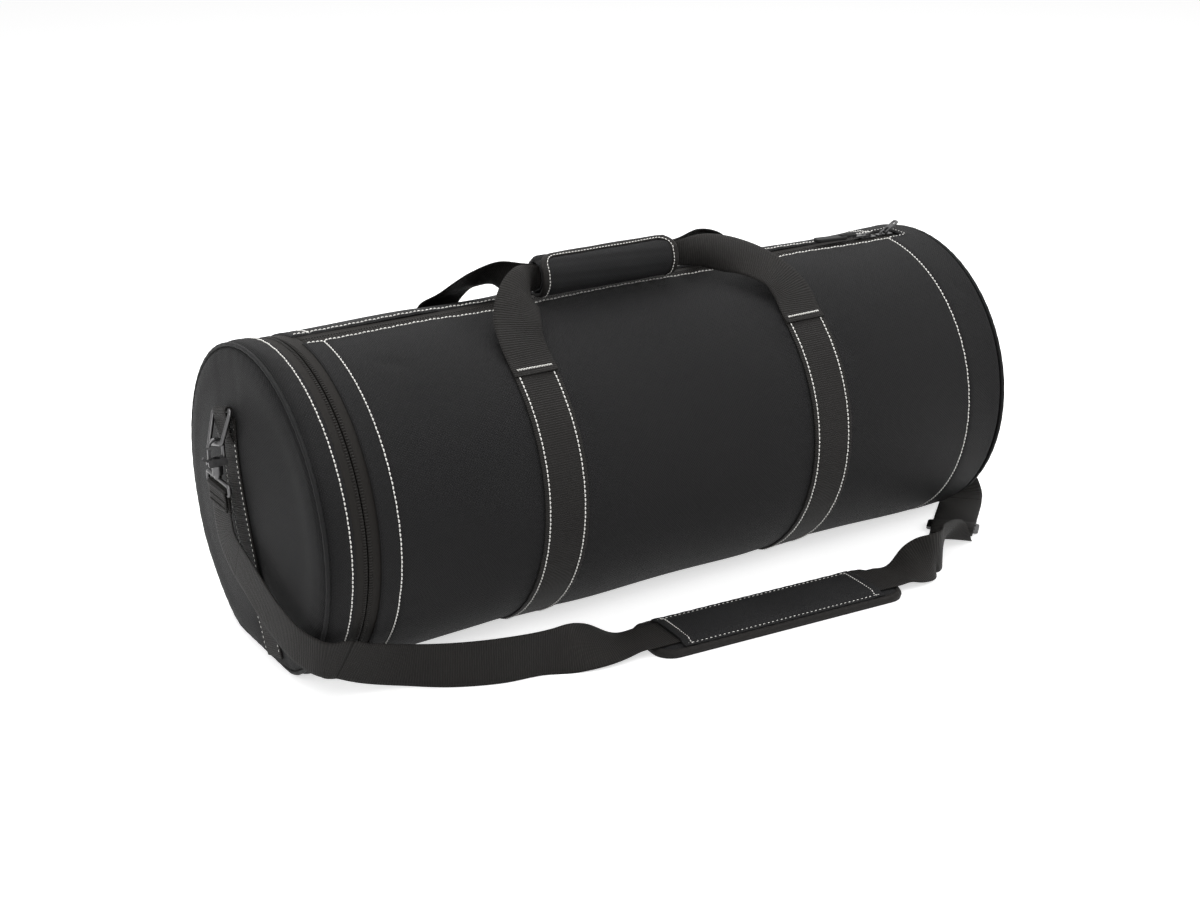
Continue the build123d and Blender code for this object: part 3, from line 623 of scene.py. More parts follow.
def relief(x, s):
    """How far the wall stands out, in millimetres, at x and at a distance round the case."""
    x, s = np.broadcast_arrays(np.asarray(x, float), np.asarray(s, float))
    s = s % PERIMETER
    out = sum(0.24 * np.sin(a * x + b * s + c) for a, b, c in swell_waves)
    for x0, s0, x1, s1, width, depth in creases:
        along, down = x1 - x0, s1 - s0
        for flip in (False, True):
            ring = PERIMETER - s if flip else s
            dx = x - x0 if not flip else x - x0 - 9
            t = np.clip((dx * along + (ring - s0) * down) / (along**2 + down**2), 0, 1)
            gap = np.hypot(dx - t * along, ring - s0 - t * down)
            fade = np.sin(np.pi * t) ** 2
            out = out + depth * fade * np.exp(-((gap / width) ** 2)) * (0.7 if flip else 1.0)
    for stitched in (BODY_STITCH, END_STITCH):
        gap = np.abs(x - stitched)
        ripple = np.sin(s / 2.7 + 1.7 * np.sin(s / 31)) * (0.55 + 0.45 * np.sin(s / 47 + 1))
        out = out - 0.9 * np.exp(-((gap / 2.2) ** 2)) + 0.3 * ripple * np.exp(-gap / 9)
    for middle in BANDS:
        gap = np.abs(x - middle) - BAND_WIDTH / 2
        out = out - 1.1 * np.exp(-((np.maximum(gap, 0) / 26) ** 2))
        out = out + 0.22 * np.sin(s / 3.1 + 2 * np.sin(s / 37)) * np.exp(-(np.abs(gap) / 8))
    beside = np.abs(s - PERIMETER / 2) - SLOT_STITCH
    out = out + 0.25 * np.sin(x / 3.3 + 2 * np.sin(x / 43)) * np.exp(-(np.abs(beside) / 9))
    return out * off_floor(s)


def on_wall(x, s, lift=0.0):
    """Points and normals on the wall's cloth, lifted off it."""
    x, s = np.broadcast_arrays(np.asarray(x, float), np.asarray(s, float))
    place, face = outline(s, 0.0)
    height = (relief(x, s) + lift)[..., None]
    points = np.concatenate([x[..., None], place + face * height], -1)
    return points, np.concatenate([np.zeros(x.shape + (1,)), face], -1)


print("relief between",
      round(float(relief(*np.meshgrid(np.arange(-360, 420, 7), np.arange(0, PERIMETER, 9))).min()), 2), "and",
      round(float(relief(*np.meshgrid(np.arange(-360, 420, 7), np.arange(0, PERIMETER, 9))).max()), 2), "mm")

# %% [markdown]
# ## The main panel
# One large panel wraps the whole case. It stops at the lid's zip with a folded edge, leaves a long slot on
# top for the top zip, and rolls into the end seam at the other side. It is a grid in x and in distance round
# the case, with the quads of the slot left out and rows placed close together at each folded edge, where the
# cloth turns.

# %% Main panel
WALL_END = float(shell_high[0])


def folded(start, stop, step, first=True, last=True):
    """Places from start to stop, with extra ones close to the folded edges."""
    near = np.array([0, 0.5, 1.2, 2.2, 3.6])
    inner = np.linspace(start + (5 if first else 0), stop - (5 if last else 0),
                        max(2, int(abs(stop - start) / step)))
    head = start + near if first else []
    tail = stop - near[::-1] if last else []
    return np.concatenate([head, inner, tail])


xs = np.unique(np.concatenate([folded(BODY_EDGE, WALL_END, 4.2), [SLOT_END - 1.2, SLOT_END, SLOT_END + 1.2],
                               BODY_STITCH + np.array([-1.2, 0, 1.2]),
                               END_STITCH + np.array([-1.2, 0, 1.2])]).round(2))
slot_front, slot_back = on_top(SLOT_SIDE), on_top(-SLOT_SIDE)
hem = np.array([0.5, 1.2, 2.4])
ss = np.concatenate([np.arange(0, slot_front - 5, 4.3), slot_front - hem[::-1], [slot_front],
                     np.linspace(slot_front, slot_back, 8)[1:-1], [slot_back], slot_back + hem,
                     np.arange(slot_back + 5, PERIMETER - 2, 4.3)])
X, S = np.meshgrid(xs, ss, indexing="ij")
edge_gap = np.minimum(X - BODY_EDGE, WALL_END - X)
in_slot = np.maximum(np.abs(S - PERIMETER / 2) - SLOT_SIDE, X - SLOT_END)
edge_gap = np.minimum(edge_gap, np.maximum(in_slot, 0))
turn_in = -1.3 * np.exp(-((edge_gap / 0.9) ** 2)) + 0.35 * np.exp(-(((edge_gap - 4) / 4) ** 2))
collar = 0.7 * ease(X, END_STITCH + 1.5, END_STITCH + 2.6) - 2.4 * ease(X, WALL_END - 5, WALL_END)
pressed = sum(-BAND_THICK * ease(BAND_WIDTH / 2 + 2.5 - np.abs(X - m), 0,
                                 2.5) for m in BANDS) * (1 - off_floor(S))
points, faces = on_wall(X, S, turn_in + collar + pressed)
points[..., 2] = np.maximum(points[..., 2], 0.0)
slopes = grid_normals(points, closed=True)
slopes *= np.where((slopes * faces).sum(-1, keepdims=True) < 0, -1, 1)
maps = np.stack(np.broadcast_arrays(xs[:, None], np.append(ss, PERIMETER)[None]), -1)
inside_slot = (lambda i, j: xs[i + 1] <= SLOT_END + 0.01 and slot_front - 0.01 <= ss[j]
               and (j + 1 < len(ss) and ss[j + 1] <= slot_back + 0.01))
main_panel = slab("main_panel", points, unit(slopes * 0.35 + faces * 0.65), 2.0, maps, case_cloth,
                  closed=True,
                  keep=lambda i, j: not inside_slot(i, j))
swap(main_panel, "body_shell", body="case")
print("main panel", len(main_panel.data.polygons), "faces")

# %% [markdown]
# ## Padding and lining
# Behind the cloth lie nine millimetres of foam and a smooth nylon lining, sewn through in large squares. From
# outside they don't show, but they do when the lid or the top zip is open, so they are made as one thick
# quilted wall whose inner face dips at each line of quilting.

# %% Padding
LINING_INSET, FOAM_INSET = 12.6, 2.5
PAD_THICK = LINING_INSET - FOAM_INSET
QUILT = 62.0


def quilted(a, b):
    """Thickness of the padding: full in the squares and thin on their sewn lines."""
    line = np.minimum(np.abs((a / QUILT) % 1 - 0.5), np.abs((b / QUILT) % 1 - 0.5)) * QUILT
    return PAD_THICK - 2.2 * np.exp(-((line / 5.5) ** 2))


pad_low, pad_high = (float(c[0]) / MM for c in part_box("body_foam"))
xs = folded(pad_low, pad_high, 7)
ss = np.concatenate([np.arange(0, on_top(17.4), 7.5), [on_top(17.4), on_top(-17.4)],
                     np.arange(on_top(-24), PERIMETER - 3, 7.5)])
X, S = np.meshgrid(xs, ss, indexing="ij")
place, face = outline(S, -FOAM_INSET)
points = np.concatenate([X[..., None], place], -1)
faces = np.concatenate([np.zeros(X.shape + (1,)), face], -1)
edge = np.minimum(X - pad_low, pad_high - X)
thick = quilted(X, S) - 3.0 * np.exp(-((edge / 2.0) ** 2))
points += faces * (np.minimum(relief(X, S), 0) - 1.5 * np.exp(-((edge / 1.6) ** 2)))[..., None]
maps = np.stack(np.broadcast_arrays(xs[:, None], np.append(ss, PERIMETER)[None]), -1)
gap_column = int(np.argmin(np.abs(ss - on_top(17.4))))
body_padding = slab("body_padding", points, faces, thick, maps, lining_cloth, closed=True,
                    keep=lambda i, j: j != gap_column)
swap(body_padding, "body_foam", "body_lining", body="case")

DOME = 15.0
DOME_RADIUS = (RADIUS**2 + DOME**2) / (2 * DOME)
HALF = 425.0


def dome_x(side, distance, depth=0.0):
    """X of an end's face at a distance from the case's axis, and deeper inside it."""
    return side * (HALF + DOME - DOME_RADIUS
                   + np.sqrt((DOME_RADIUS - depth) ** 2 - np.asarray(distance, float) ** 2))


def end_grid(inset, steps):
    """A grid over an end's outline: y and z of each point, and the share of the way to the outline."""
    line = np.linspace(-1, 1, steps)
    line = np.sin(line * math.pi / 2) * 0.35 + line * 0.65
    u, v = np.meshgrid(line, line, indexing="ij")
    a, b = u * np.sqrt(1 - v**2 / 2), v * np.sqrt(1 - u**2 / 2)
    angle = np.arctan2(b, a)
    ring = np.arange(0, PERIMETER, 1.0)
    place = outline(ring, -inset)[0] - (0, AXIS)
    at = np.unwrap(np.arctan2(place[:, 1], place[:, 0]))
    order = np.argsort(np.mod(at, 2 * math.pi))
    sizes = np.interp(np.mod(angle, 2 * math.pi), np.mod(at, 2 * math.pi)[order],
                      np.linalg.norm(place, axis=1)[order], period=2 * math.pi)
    share = np.hypot(a, b)
    radius = share * sizes
    return radius * np.cos(angle), AXIS + radius * np.sin(angle), share, sizes


def end_piece(name, side, inset, depth, thick, paint, bulge, quilt=False):
    """A domed layer of an end."""
    y, z, share, sizes = end_grid(inset, 72)
    gap = (1 - share) * sizes
    distance = np.hypot(y, z - AXIS)
    x = dome_x(side, distance, depth) + side * bulge(y, z, gap)
    points = np.stack([x, y, z], -1)
    normals = np.stack([x - side * (HALF + DOME - DOME_RADIUS), y, z - AXIS], -1)
    slopes = grid_normals(points)
    slopes *= np.where((slopes * normals).sum(-1, keepdims=True) < 0, -1, 1)
    deep = quilted(y + 11, z) if quilt else thick
    return slab(name, points, unit(unit(normals) + slopes * 0.6), deep, np.stack([z, y], -1), paint)


def with_lid(piece, *stands_for):
    """The lid's soft pieces: bakes their placement into their mesh and hides the CAD nodes that they stand for."""
    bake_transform(piece)
    return swap(piece, *stands_for)


rim_low, rim_high = (float(c[0]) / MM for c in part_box("lid_rim_foam"))
xs = folded(rim_low, rim_high, 3)
ss = np.arange(0, PERIMETER, 8.0)
X, S = np.meshgrid(xs, ss, indexing="ij")
place, face = outline(S, -FOAM_INSET)
faces = np.concatenate([np.zeros(X.shape + (1,)), face], -1)
edge = np.minimum(X - rim_low, rim_high - X)
points = np.concatenate([X[..., None], place], -1) + faces * (-1.5 * np.exp(-((edge / 1.6) ** 2)))[..., None]
maps = np.stack(np.broadcast_arrays(xs[:, None], np.append(ss, PERIMETER)[None]), -1)
lid_rim_padding = slab("lid_rim_padding", points, faces, 8.6 - 3 * np.exp(-((edge / 2.0) ** 2)), maps,
                       lining_cloth, closed=True)
with_lid(lid_rim_padding, "lid_rim_foam")
print("padding", round(PAD_THICK, 1), "mm thick")

# %% [markdown]
# ## The two ends
# Each end is a round panel that the filling pushes out into a shallow dome. A corded piping is sewn between
# the panel and the wall, so the panel dips just before it. The same cloth makes the narrow rim between the
# lid's piping and its zip. The rim and the lid's lower edge are one continuous cloth with the case, and there
# they act as the lid's hinge.

# %% End panels, rim and piping
def panel_bulge(side):
    def bulge(y, z, gap):
        soft = 0.7 * np.sin(y / 41 + 1.1 * side) * np.sin(z / 53 + 0.7) + 0.5 * np.sin((y + z) / 29)
        puff = 2.0 * np.exp(-(((gap - 15) / 14) ** 2)) - 2.6 * np.exp(-((gap / 3.0) ** 2))
        lean = math.radians(15)
        across = y * math.cos(lean) - (z - AXIS) * math.sin(lean)
        drawn = -1.0 * np.exp(-((np.maximum(np.abs(across) - 19, 0) / 12) ** 2))
        angle = np.arctan2(z - AXIS, y)
        pucker = 0.32 * np.sin(angle * 62 + 3 * np.sin(angle * 7)) * np.exp(-(gap / 10))
        ease_in = ease(gap, 0, 10)
        return (soft + drawn) * ease_in + puff + pucker - 0.6
    return bulge


def padding_bulge(side):
    """The padding goes in wherever the panel over it does."""
    return lambda y, z, gap: np.minimum(panel_bulge(side)(y, z, gap + 5), 0) - 1.5 * np.exp(-((gap / 3) ** 2))


lid_padding = end_piece("lid_padding", -1, 5.0, FOAM_INSET, PAD_THICK, lining_cloth,
                        padding_bulge(-1), quilt=True)
end_padding = end_piece("end_padding", 1, 5.0, FOAM_INSET, PAD_THICK, lining_cloth,
                        padding_bulge(1), quilt=True)
with_lid(lid_padding, "lid_foam", "lid_lining")
swap(end_padding, "end_foam", "end_lining", body="case")
lid_panel = end_piece("lid_panel_cloth", -1, 4.0, 0.0, 2.0, case_cloth, panel_bulge(-1))
end_panel = end_piece("end_panel_cloth", 1, 4.0, 0.0, 2.0, case_cloth, panel_bulge(1))
with_lid(lid_panel, "lid_panel")
swap(end_panel, "end_panel", body="case")

PIPING = 2.2


def piping_ring(name, side):
    """Covered cord round an end, with the slight puckers of its seam."""
    ss = np.arange(0, PERIMETER, 3.0)
    turns = np.linspace(0, 2 * math.pi, 13)[:-1]
    place, face = outline(ss, -PIPING)
    size = PIPING * (1 + 0.05 * np.sin(ss / 2.4 + np.sin(ss / 19)))[:, None]
    out, flat = size * np.cos(turns), size * np.sin(turns)
    p = np.zeros((len(ss), 12, 3))
    p[..., 0] = side * (HALF - PIPING) + flat
    p[..., 1:] = place[:, None] + face[:, None] * out[..., None]
    p = np.concatenate([p, p[:1]])
    quads, spots = grid_faces(len(ss) + 1, 12, closed=True)
    count = len(ss) * 12
    quads = [tuple(n % count for n in q) for q in quads]
    ring = np.append(ss, PERIMETER)
    uv = [(ring[i] * MM, j * PIPING * 0.52 * MM) for four in spots for i, j in four]
    if side > 0:
        quads, uv = [q[::-1] for q in quads], [uv[4 * (k // 4) + 3 - k % 4] for k in range(len(uv))]
    return new_piece(name, p[:-1].reshape(-1, 3), quads, piping_cloth, uv)


lid_piping = piping_ring("lid_piping_cord", -1)
end_piping = piping_ring("end_piping_cord", 1)
with_lid(lid_piping, "lid_piping")
swap(end_piping, "end_piping", body="case")

rim_start = -HALF + 2 * PIPING + 0.2
xs = folded(rim_start, LID_EDGE, 2.6)
ss = np.arange(0, PERIMETER, 3.6)
X, S = np.meshgrid(xs, ss, indexing="ij")
edge = LID_EDGE - X
height = (-1.3 * np.exp(-((edge / 0.9) ** 2)) + 0.4 * np.exp(-(((edge - 4) / 3) ** 2))
          - 2.2 * np.exp(-(((X - rim_start) / 3.2) ** 2)))
height += -0.9 * np.exp(-(((X - LID_SEAM_STITCH) / 1.8) ** 2))
height += (1.5 * np.sin(math.pi * np.clip((X - rim_start) / (LID_SEAM_STITCH - rim_start), 0, 1))
           * (0.75 + 0.35 * np.sin(S / 33) + 0.25 * np.sin(S / 13 + 1))) * off_floor(S)
height += 0.3 * np.sin(S / 2.6 + 1.5 * np.sin(S / 23)) * np.exp(-np.abs(X - LID_SEAM_STITCH) / 7) * off_floor(S)
place, face = outline(S)
faces = np.concatenate([np.zeros(X.shape + (1,)), face], -1)
rim_height = height
points = np.concatenate([X[..., None], place], -1) + faces * height[..., None]
points[..., 2] = np.maximum(points[..., 2], 0.0)
slopes = grid_normals(points, closed=True)
slopes *= np.where((slopes * faces).sum(-1, keepdims=True) < 0, -1, 1)
maps = np.stack(np.broadcast_arrays(xs[:, None], np.append(ss, PERIMETER)[None]), -1)
lid_rim = slab("lid_rim_cloth", points, unit(slopes * 0.4 + faces * 0.6), 2.0, maps, case_cloth, closed=True)
with_lid(lid_rim, "lid_rim", "lid_hinge_strip")

low = around_at(12.0)
xs, ss = np.linspace(LID_EDGE - 1.5, BODY_EDGE + 1.5, 10), np.linspace(-low, low, 60)
X, S = np.meshgrid(xs, ss, indexing="ij")
place, face = outline(S, -0.3)
faces = np.concatenate([np.zeros(X.shape + (1,)), face], -1)
hinge_cloth = slab("hinge_cloth", np.concatenate([X[..., None], place], -1), faces, 2.0,
                   np.stack([X, S], -1), case_cloth)
swap(hinge_cloth, body="case")
print("ends, rim and piping made")

# %% [markdown]
# ## Zips
# A coil zip is two tapes with a nylon coil sewn along each. Here the coils are on the inside, so from outside
# each turn shows only as a small rib through the tape. Each turn is a capsule across the tape, one outside as
# the rib and a larger one inside as the coil itself. The turns of the two sides stand half a pitch apart, as
# meshed ones do.

# %% Zips
TAPE_WIDE, TAPE_THICK, TAPE_INSET, COIL_WIDE, SLIT = 16.0, 0.8, 2.3, 4.0, 1.4
TURN_PITCH = 3.0


class Coil(Seams):
    """Turns of a zip's coil, gathered like stitches."""

    def turn(self, centre, across, normal):
        self.strand(centre + normal * 0.05, across, normal, COIL_WIDE + 0.6, 1.5)
        self.strand(centre - normal * (TAPE_THICK + 1.15), across, normal, COIL_WIDE, 2.3)

    def make(self):
        piece = new_piece(self.name, np.concatenate(self.points), self.faces, coil_nylon)
        print(self.name, self.count // 2, "turns")
        return piece


def lid_tape(name, x0, x1, start):
    """Half of the lid's tape, from one lower end to the other."""
    xs, ss = np.linspace(x0, x1, 7), np.linspace(start, PERIMETER - start, 300)
    X, S = np.meshgrid(xs, ss, indexing="ij")
    place, face = outline(S, -TAPE_INSET)
    faces = np.concatenate([np.zeros(X.shape + (1,)), face], -1)
    return slab(name, np.concatenate([X[..., None], place], -1), faces, TAPE_THICK, np.stack([S, X], -1),
                zip_tape)


zip_low = around_at(9.0)
tape_lid = lid_tape("lid_zip_tape_outer", ZIP_X - TAPE_WIDE, ZIP_X - SLIT / 2, zip_low)
tape_body = lid_tape("lid_zip_tape_inner", ZIP_X + SLIT / 2, ZIP_X + TAPE_WIDE, zip_low)
with_lid(tape_lid, "lid_zip_tape_lid", "lid_zip_ends")
swap(tape_body, "lid_zip_tape_body", body="case")
coil_lid, coil_body = Coil("lid_zip_coil_outer"), Coil("lid_zip_coil_inner")
coil_middle = SLIT / 2 + COIL_WIDE / 2
for side, coil, shift in ((-1, coil_lid, 0.0), (1, coil_body, TURN_PITCH / 2)):
    for s in np.arange(zip_low + 3 + shift, PERIMETER - zip_low - 3, TURN_PITCH):
        place, face = outline(s, -TAPE_INSET)
        coil.turn(np.array([ZIP_X + side * coil_middle, *place]), np.array([1.0, 0, 0]),
                  np.array([0.0, *face]))
with_lid(coil_lid.make(), "lid_zip_coil_lid")
swap(coil_body.make(), "lid_zip_coil_body", body="case")

tape_low, tape_high = (np.array(c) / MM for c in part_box("top_zip_tapes"))
tape_z = float(tape_high[2])
for side, name in ((-1, "front"), (1, "back")):
    xs, ys = np.linspace(float(tape_low[0]), float(tape_high[0]), 160), np.linspace(SLIT / 2, TAPE_WIDE, 7)
    X, Y = np.meshgrid(xs, ys, indexing="ij")
    points = np.stack([X, side * Y, np.full(X.shape, tape_z)], -1)
    upright = np.broadcast_to((0.0, 0.0, 1.0), points.shape)
    tape = slab(f"top_zip_tape_{name}", points, upright, TAPE_THICK, np.stack([X, Y], -1), zip_tape)
    swap(tape, "top_zip_tapes", body="case")
    coil = Coil(f"top_zip_coil_{name}")
    for x in np.arange(float(tape_low[0]) + 4 + (side > 0) * TURN_PITCH / 2, SLOT_END, TURN_PITCH):
        coil.turn(np.array([x, side * coil_middle, tape_z]), np.array([0, 1.0, 0]), np.array([0, 0, 1.0]))
    swap(coil.make(), "top_zip_coils", body="case")
print("zips made")

# %% [markdown]
# ## Webbing
# Straps, bands and handles are one kind of webbing, two inches wide. A run of it follows a few stations, each
# with a middle, a direction across, a width and a cup: the angle that the cross-section is curled through
# where the webbing is gathered. Its ribs stay square to its length however it twists, since the map goes with
# the run.

# %% Webbing runs
WEB_WIDE, WEB_THICK = 50.0, 1.6


def webbing_run(name, stations, steps, outward, paint=webbing, thick=WEB_THICK, slot="webbing", begin=0.0,
                columns=11, part=slice(None)):
    """A run of webbing, or one part of it, and its middle line. Each station is x, y, z, across x, y, z, width, cup."""
    p, length = spline(stations, steps)
    middle = p[:, :3]
    ahead = unit(np.gradient(middle, axis=0))
    across = p[:, 3:6] - (p[:, 3:6] * ahead).sum(1, keepdims=True) * ahead
    across = unit(across)
    face = np.cross(across, ahead)
    if np.dot(face[0], outward) < 0:
        face = -face
    t = np.linspace(-1, 1, columns)
    t = np.sign(t) * np.abs(t) ** 0.8
    half = p[:, 6:7] / 2
    cup = np.radians(np.maximum(p[:, 7:8], 0.5))
    size = 2 * half / cup
    turn = t * cup / 2
    over, drop = size * np.sin(turn), size * (np.cos(turn) - 1)
    points = middle[:, None] + across[:, None] * over[..., None] + face[:, None] * drop[..., None]
    normals = unit(across[:, None] * np.sin(turn)[..., None] + face[:, None] * np.cos(turn)[..., None])
    depth = thick * (1 - 0.3 * np.abs(t) ** 12)[None]
    along = begin + np.linspace(0, length, steps)
    maps = np.stack(np.broadcast_arrays(along[:, None], t * WEB_WIDE / 2), -1)
    points = points + normals * thick / 2
    depth = np.broadcast_to(depth, (steps, columns))
    return slab(name, points[part], normals[part], depth[part], maps[part], paint), middle


def band(name, middle):
    """A band sewn round the case from tack to tack, under it and up again."""
    top = around_at(TACK_HEIGHT)
    ss, us = (np.linspace(-top, top, 300),
              np.array([-25, -24.3, -23, -20, -16, -8, 0, 8, 16, 20, 23, 24.3, 25.0]))
    S, U = np.meshgrid(ss, us, indexing="ij")
    lift = (BAND_THICK + 0.5) * off_floor(S) - 0.45 * np.exp(-(((25 - np.abs(U)) / 0.7) ** 2))
    lift = lift - 0.35 * np.exp(-(((20 - np.abs(U)) / 1.0) ** 2)) * off_floor(S)
    points, faces = on_wall(middle + U, S, lift)
    piece = slab(name, points, faces, BAND_THICK, np.stack([S, U], -1), webbing)
    return swap(piece, "body_bands", body="case")


for name, middle in (("left", BANDS[0]), ("right", BANDS[1])):
    band(f"body_band_{name}", middle)
LEAN = math.radians(15)
lean_out = np.array([math.sin(LEAN), math.cos(LEAN)])
lean_side = np.array([math.cos(LEAN), -math.sin(LEAN)])


def on_end(side, far, over, lift=0.0):
    """Points and normals on an end's cloth: far up its webbing's line and over to one side."""
    far, over = np.broadcast_arrays(np.asarray(far, float), np.asarray(over, float))
    y, z = far * lean_out[0] + over * lean_side[0], AXIS + far * lean_out[1] + over * lean_side[1]
    distance = np.hypot(y, z - AXIS)
    gap = np.maximum(np.minimum(RADIUS - distance, z), 0)
    x = dome_x(side, distance) + side * panel_bulge(side)(y, z, gap)
    normals = unit(np.stack([x - side * (HALF + DOME - DOME_RADIUS), y, z - AXIS], -1))
    return np.stack([x, y, z], -1) + normals * lift, normals


END_WEB = 38.0
end_web_pieces = {}
end_stitches = {}
for side, name in ((-1, "left"), (1, "right")):
    far, over = np.linspace(96, -150, 120), np.array([-19, -18.3, -16.5, -10, 0, 10, 16.5, 18.3, 19.0])
    F, O = np.meshgrid(far, over, indexing="ij")
    points, faces = on_end(side, F, O, 0.0)
    smooth = points.copy()
    for _ in range(3):
        smooth[1:-1] = (smooth[:-2] + 2 * smooth[1:-1] + smooth[2:]) / 4
    points = smooth + faces * (BAND_THICK + 0.9 - 0.4 * np.exp(-(((19 - np.abs(O)) / 0.7) ** 2)))[..., None]
    end_web_pieces[name] = slab(f"end_band_{name}", points, faces, BAND_THICK, np.stack([F, O], -1), webbing)
    stitches = Seams(f"end_band_stitches_{name}")
    for column in (2, 6):
        stitches.line(points[4:-3, column], faces[4:-3, column], pitch=5.2, length=2.9, width=0.8)
    end_stitches[name] = stitches.make()

    ring_at = np.array([side * 440.2, 27.18, 257.42])
    up_dir, out_dir = np.array([0, *lean_out]), np.array([side, 0, 0.0])
    base = on_end(side, 74.0, 0.0, 3.0)[0]
    second = on_end(side, 92.0, 0.0, 2.6)[0]
    path = [base, second]
    for angle in np.radians([-60, -15, 35, 90, 145, 190]):
        path.append(ring_at + 3.6 * (-out_dir * math.cos(angle) + up_dir * math.sin(angle)))
    path += [ring_at + out_dir * 3.0 - up_dir * 12, ring_at + out_dir * 2.4 - up_dir * 26,
             on_end(side, 72.0, 0.0, 4.4)[0]]
    sideways = np.array([0, *lean_side])
    loop, _ = webbing_run(f"ring_loop_{name}", [(*q, *sideways, END_WEB - 2, 0) for q in path], 90, out_dir,
                          thick=1.4, columns=7)
    tack = Seams(f"ring_loop_tack_{name}")
    middle, face = on_end(side, 76.0, 0.0, 5.4)
    tack.bar(middle - sideways * 15, middle + sideways * 15, face, depth=2.2)
    tack_piece = tack.make()
    if side < 0:
        with_lid(end_web_pieces[name], "end_webbing_left")
        with_lid(end_stitches[name])
        swap(loop, "end_webbing_left", body="lid")
        swap(tack_piece, body="lid")
    else:
        swap(end_web_pieces[name], "end_webbing_right", body="case")
        swap(end_stitches[name], body="case")
        swap(loop, "end_webbing_right", body="case")
        swap(tack_piece, body="case")
print("bands and end webbing made")

# %% [markdown]
# ## Carry handles and grip
# The bands leave the case at their bar tacks and become the handles. Each leg turns over above the case, is
# gathered, and runs into the grip's hollow. Inside the grip two folded thicknesses of webbing lie side by side.
# The wrap is a padded roll round them, and its flap comes up the front from the bottom edge and closes over the
# top.

# %% Handles
grip_box = [np.array(c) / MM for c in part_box("grip_wrap")]
GRIP = (grip_box[0] + grip_box[1]) / 2
GRIP_HALF = float(grip_box[1][0] - grip_box[0][0]) / 2
flap_box = [np.array(c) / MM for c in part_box("grip_flap_binding")]
GRIP = np.array([GRIP[0], float(flap_box[1][1] + 0.2), (flap_box[0][2] + flap_box[1][2]) / 2])
GRIP_DEEP, GRIP_HIGH = float(GRIP[1] - flap_box[0][1]), float(flap_box[1][2] - flap_box[0][2]) / 2
core_end = GRIP_HALF + 3.0
handle_stitches = Seams("handle_tacks")
band_stitches = Seams("band_stitches")
top = around_at(TACK_HEIGHT)
for side, hand, middle in ((-1, "left", BANDS[0]), (1, "right", BANDS[1])):
    end_x = GRIP[0] + side * core_end
    shift = end_x - middle
    for face, front, s_top in ((-1, "front", top), (1, "back", PERIMETER - top)):
        start, normal = on_wall(middle, s_top, BAND_THICK / 2 + 0.5)
        below, _ = on_wall(middle, s_top + face * 12, BAND_THICK / 2 + 0.6)
        climb = unit(start - below)
        knee = start + climb * 26 + np.array([0, face * 3.0, 3.0])
        stations = [
            (*(below + normal * 1.9), 1, 0, 0, WEB_WIDE, 0),
            (*(start + normal * 1.2), 1, 0, 0, WEB_WIDE, 0),
            (*knee, 1, 0, 0, WEB_WIDE, 6),
            (middle + 0.10 * shift, face * 64 + GRIP[1] * 0.3, GRIP[2] - 23, 0.97, -face * side * 0.16, 0,
             WEB_WIDE, 14),
            (middle + 0.36 * shift, face * 43 + GRIP[1] * 0.5, GRIP[2] - 5, 0.78, -face * side * 0.35,
             side * 0.45, 46, 50),
            (middle + 0.66 * shift, face * 24 + GRIP[1] * 0.8, GRIP[2] + 2, 0.3, -face * side * 0.2,
             side * 0.9, 42, 105),
            (middle + 0.88 * shift, GRIP[1] + face * 7.6, GRIP[2], 0, 0, side, 31, 70),
            (end_x - side * 3, GRIP[1] + face * 2.8, GRIP[2], 0, 0, side, 25, 10),
        ]
        leg, _ = webbing_run(f"handle_{front}_{hand}", stations, 90, normal, begin=5.0)
        end_x * MM
        GRIP[1] * MM
        GRIP[2] * MM
        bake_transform(leg)
        swap(leg, f"handle_leg_{front}_{hand}")
        tack_at, tack_face = on_wall(middle + np.array([-20.5, 20.5]), s_top + face * 5, BAND_THICK + 2.6)
        handle_stitches.bar(tack_at[0], tack_at[1], tack_face[0], depth=2.3, pitch=1.5)
        for offset in (-20.0, 20.0):
            run = np.linspace(s_top + face * 7, 0 if face < 0 else PERIMETER, 220)
            run = run[off_floor(run) > 0.3]
            line, normals = on_wall(middle + offset, run, BAND_THICK + 0.35)
            band_stitches.line(line, normals)
swap(handle_stitches.make(), body="case")
swap(band_stitches.make(), body="case")
cores = {}
for face, front in ((-1, "front"), (1, "back")):
    y = GRIP[1] + face * 2.4
    line = [(GRIP[0] - core_end - 2, y, GRIP[2], 0, 0, 1, 24, 0), (GRIP[0], y, GRIP[2], 0, 0, 1, 24, 0),
            (GRIP[0] + core_end + 2, y, GRIP[2], 0, 0, 1, 24, 0)]
    core, _ = webbing_run(f"grip_core_{front}", line, 40, np.array([0, face, 0.0]), thick=3.2)
    swap(core, "handle_core", body="grip")

# %% Grip wrap and flap
def on_roll(x, turn, grow=0.0):
    """Points and normals round the grip. The turn is 0 at the front and positive towards the top."""
    x, turn = np.broadcast_arrays(np.asarray(x, float), np.asarray(turn, float))
    creases = (0.35 * np.sin(turn * 9 + x / 37) + 0.25 * np.sin(turn * 17 + x / 23 + 1)
               + 0.2 * np.sin(x / 9 + 3 * np.sin(turn * 2)))
    y, z = (-np.cos(turn) * (GRIP_DEEP + grow + creases * 0.6),
            np.sin(turn) * (GRIP_HIGH + grow + creases * 0.6))
    normals = unit(np.stack([np.zeros_like(y), -np.cos(turn) * GRIP_HIGH, np.sin(turn) * GRIP_DEEP], -1))
    return np.stack([GRIP[0] + x, GRIP[1] + y, GRIP[2] + z], -1), normals


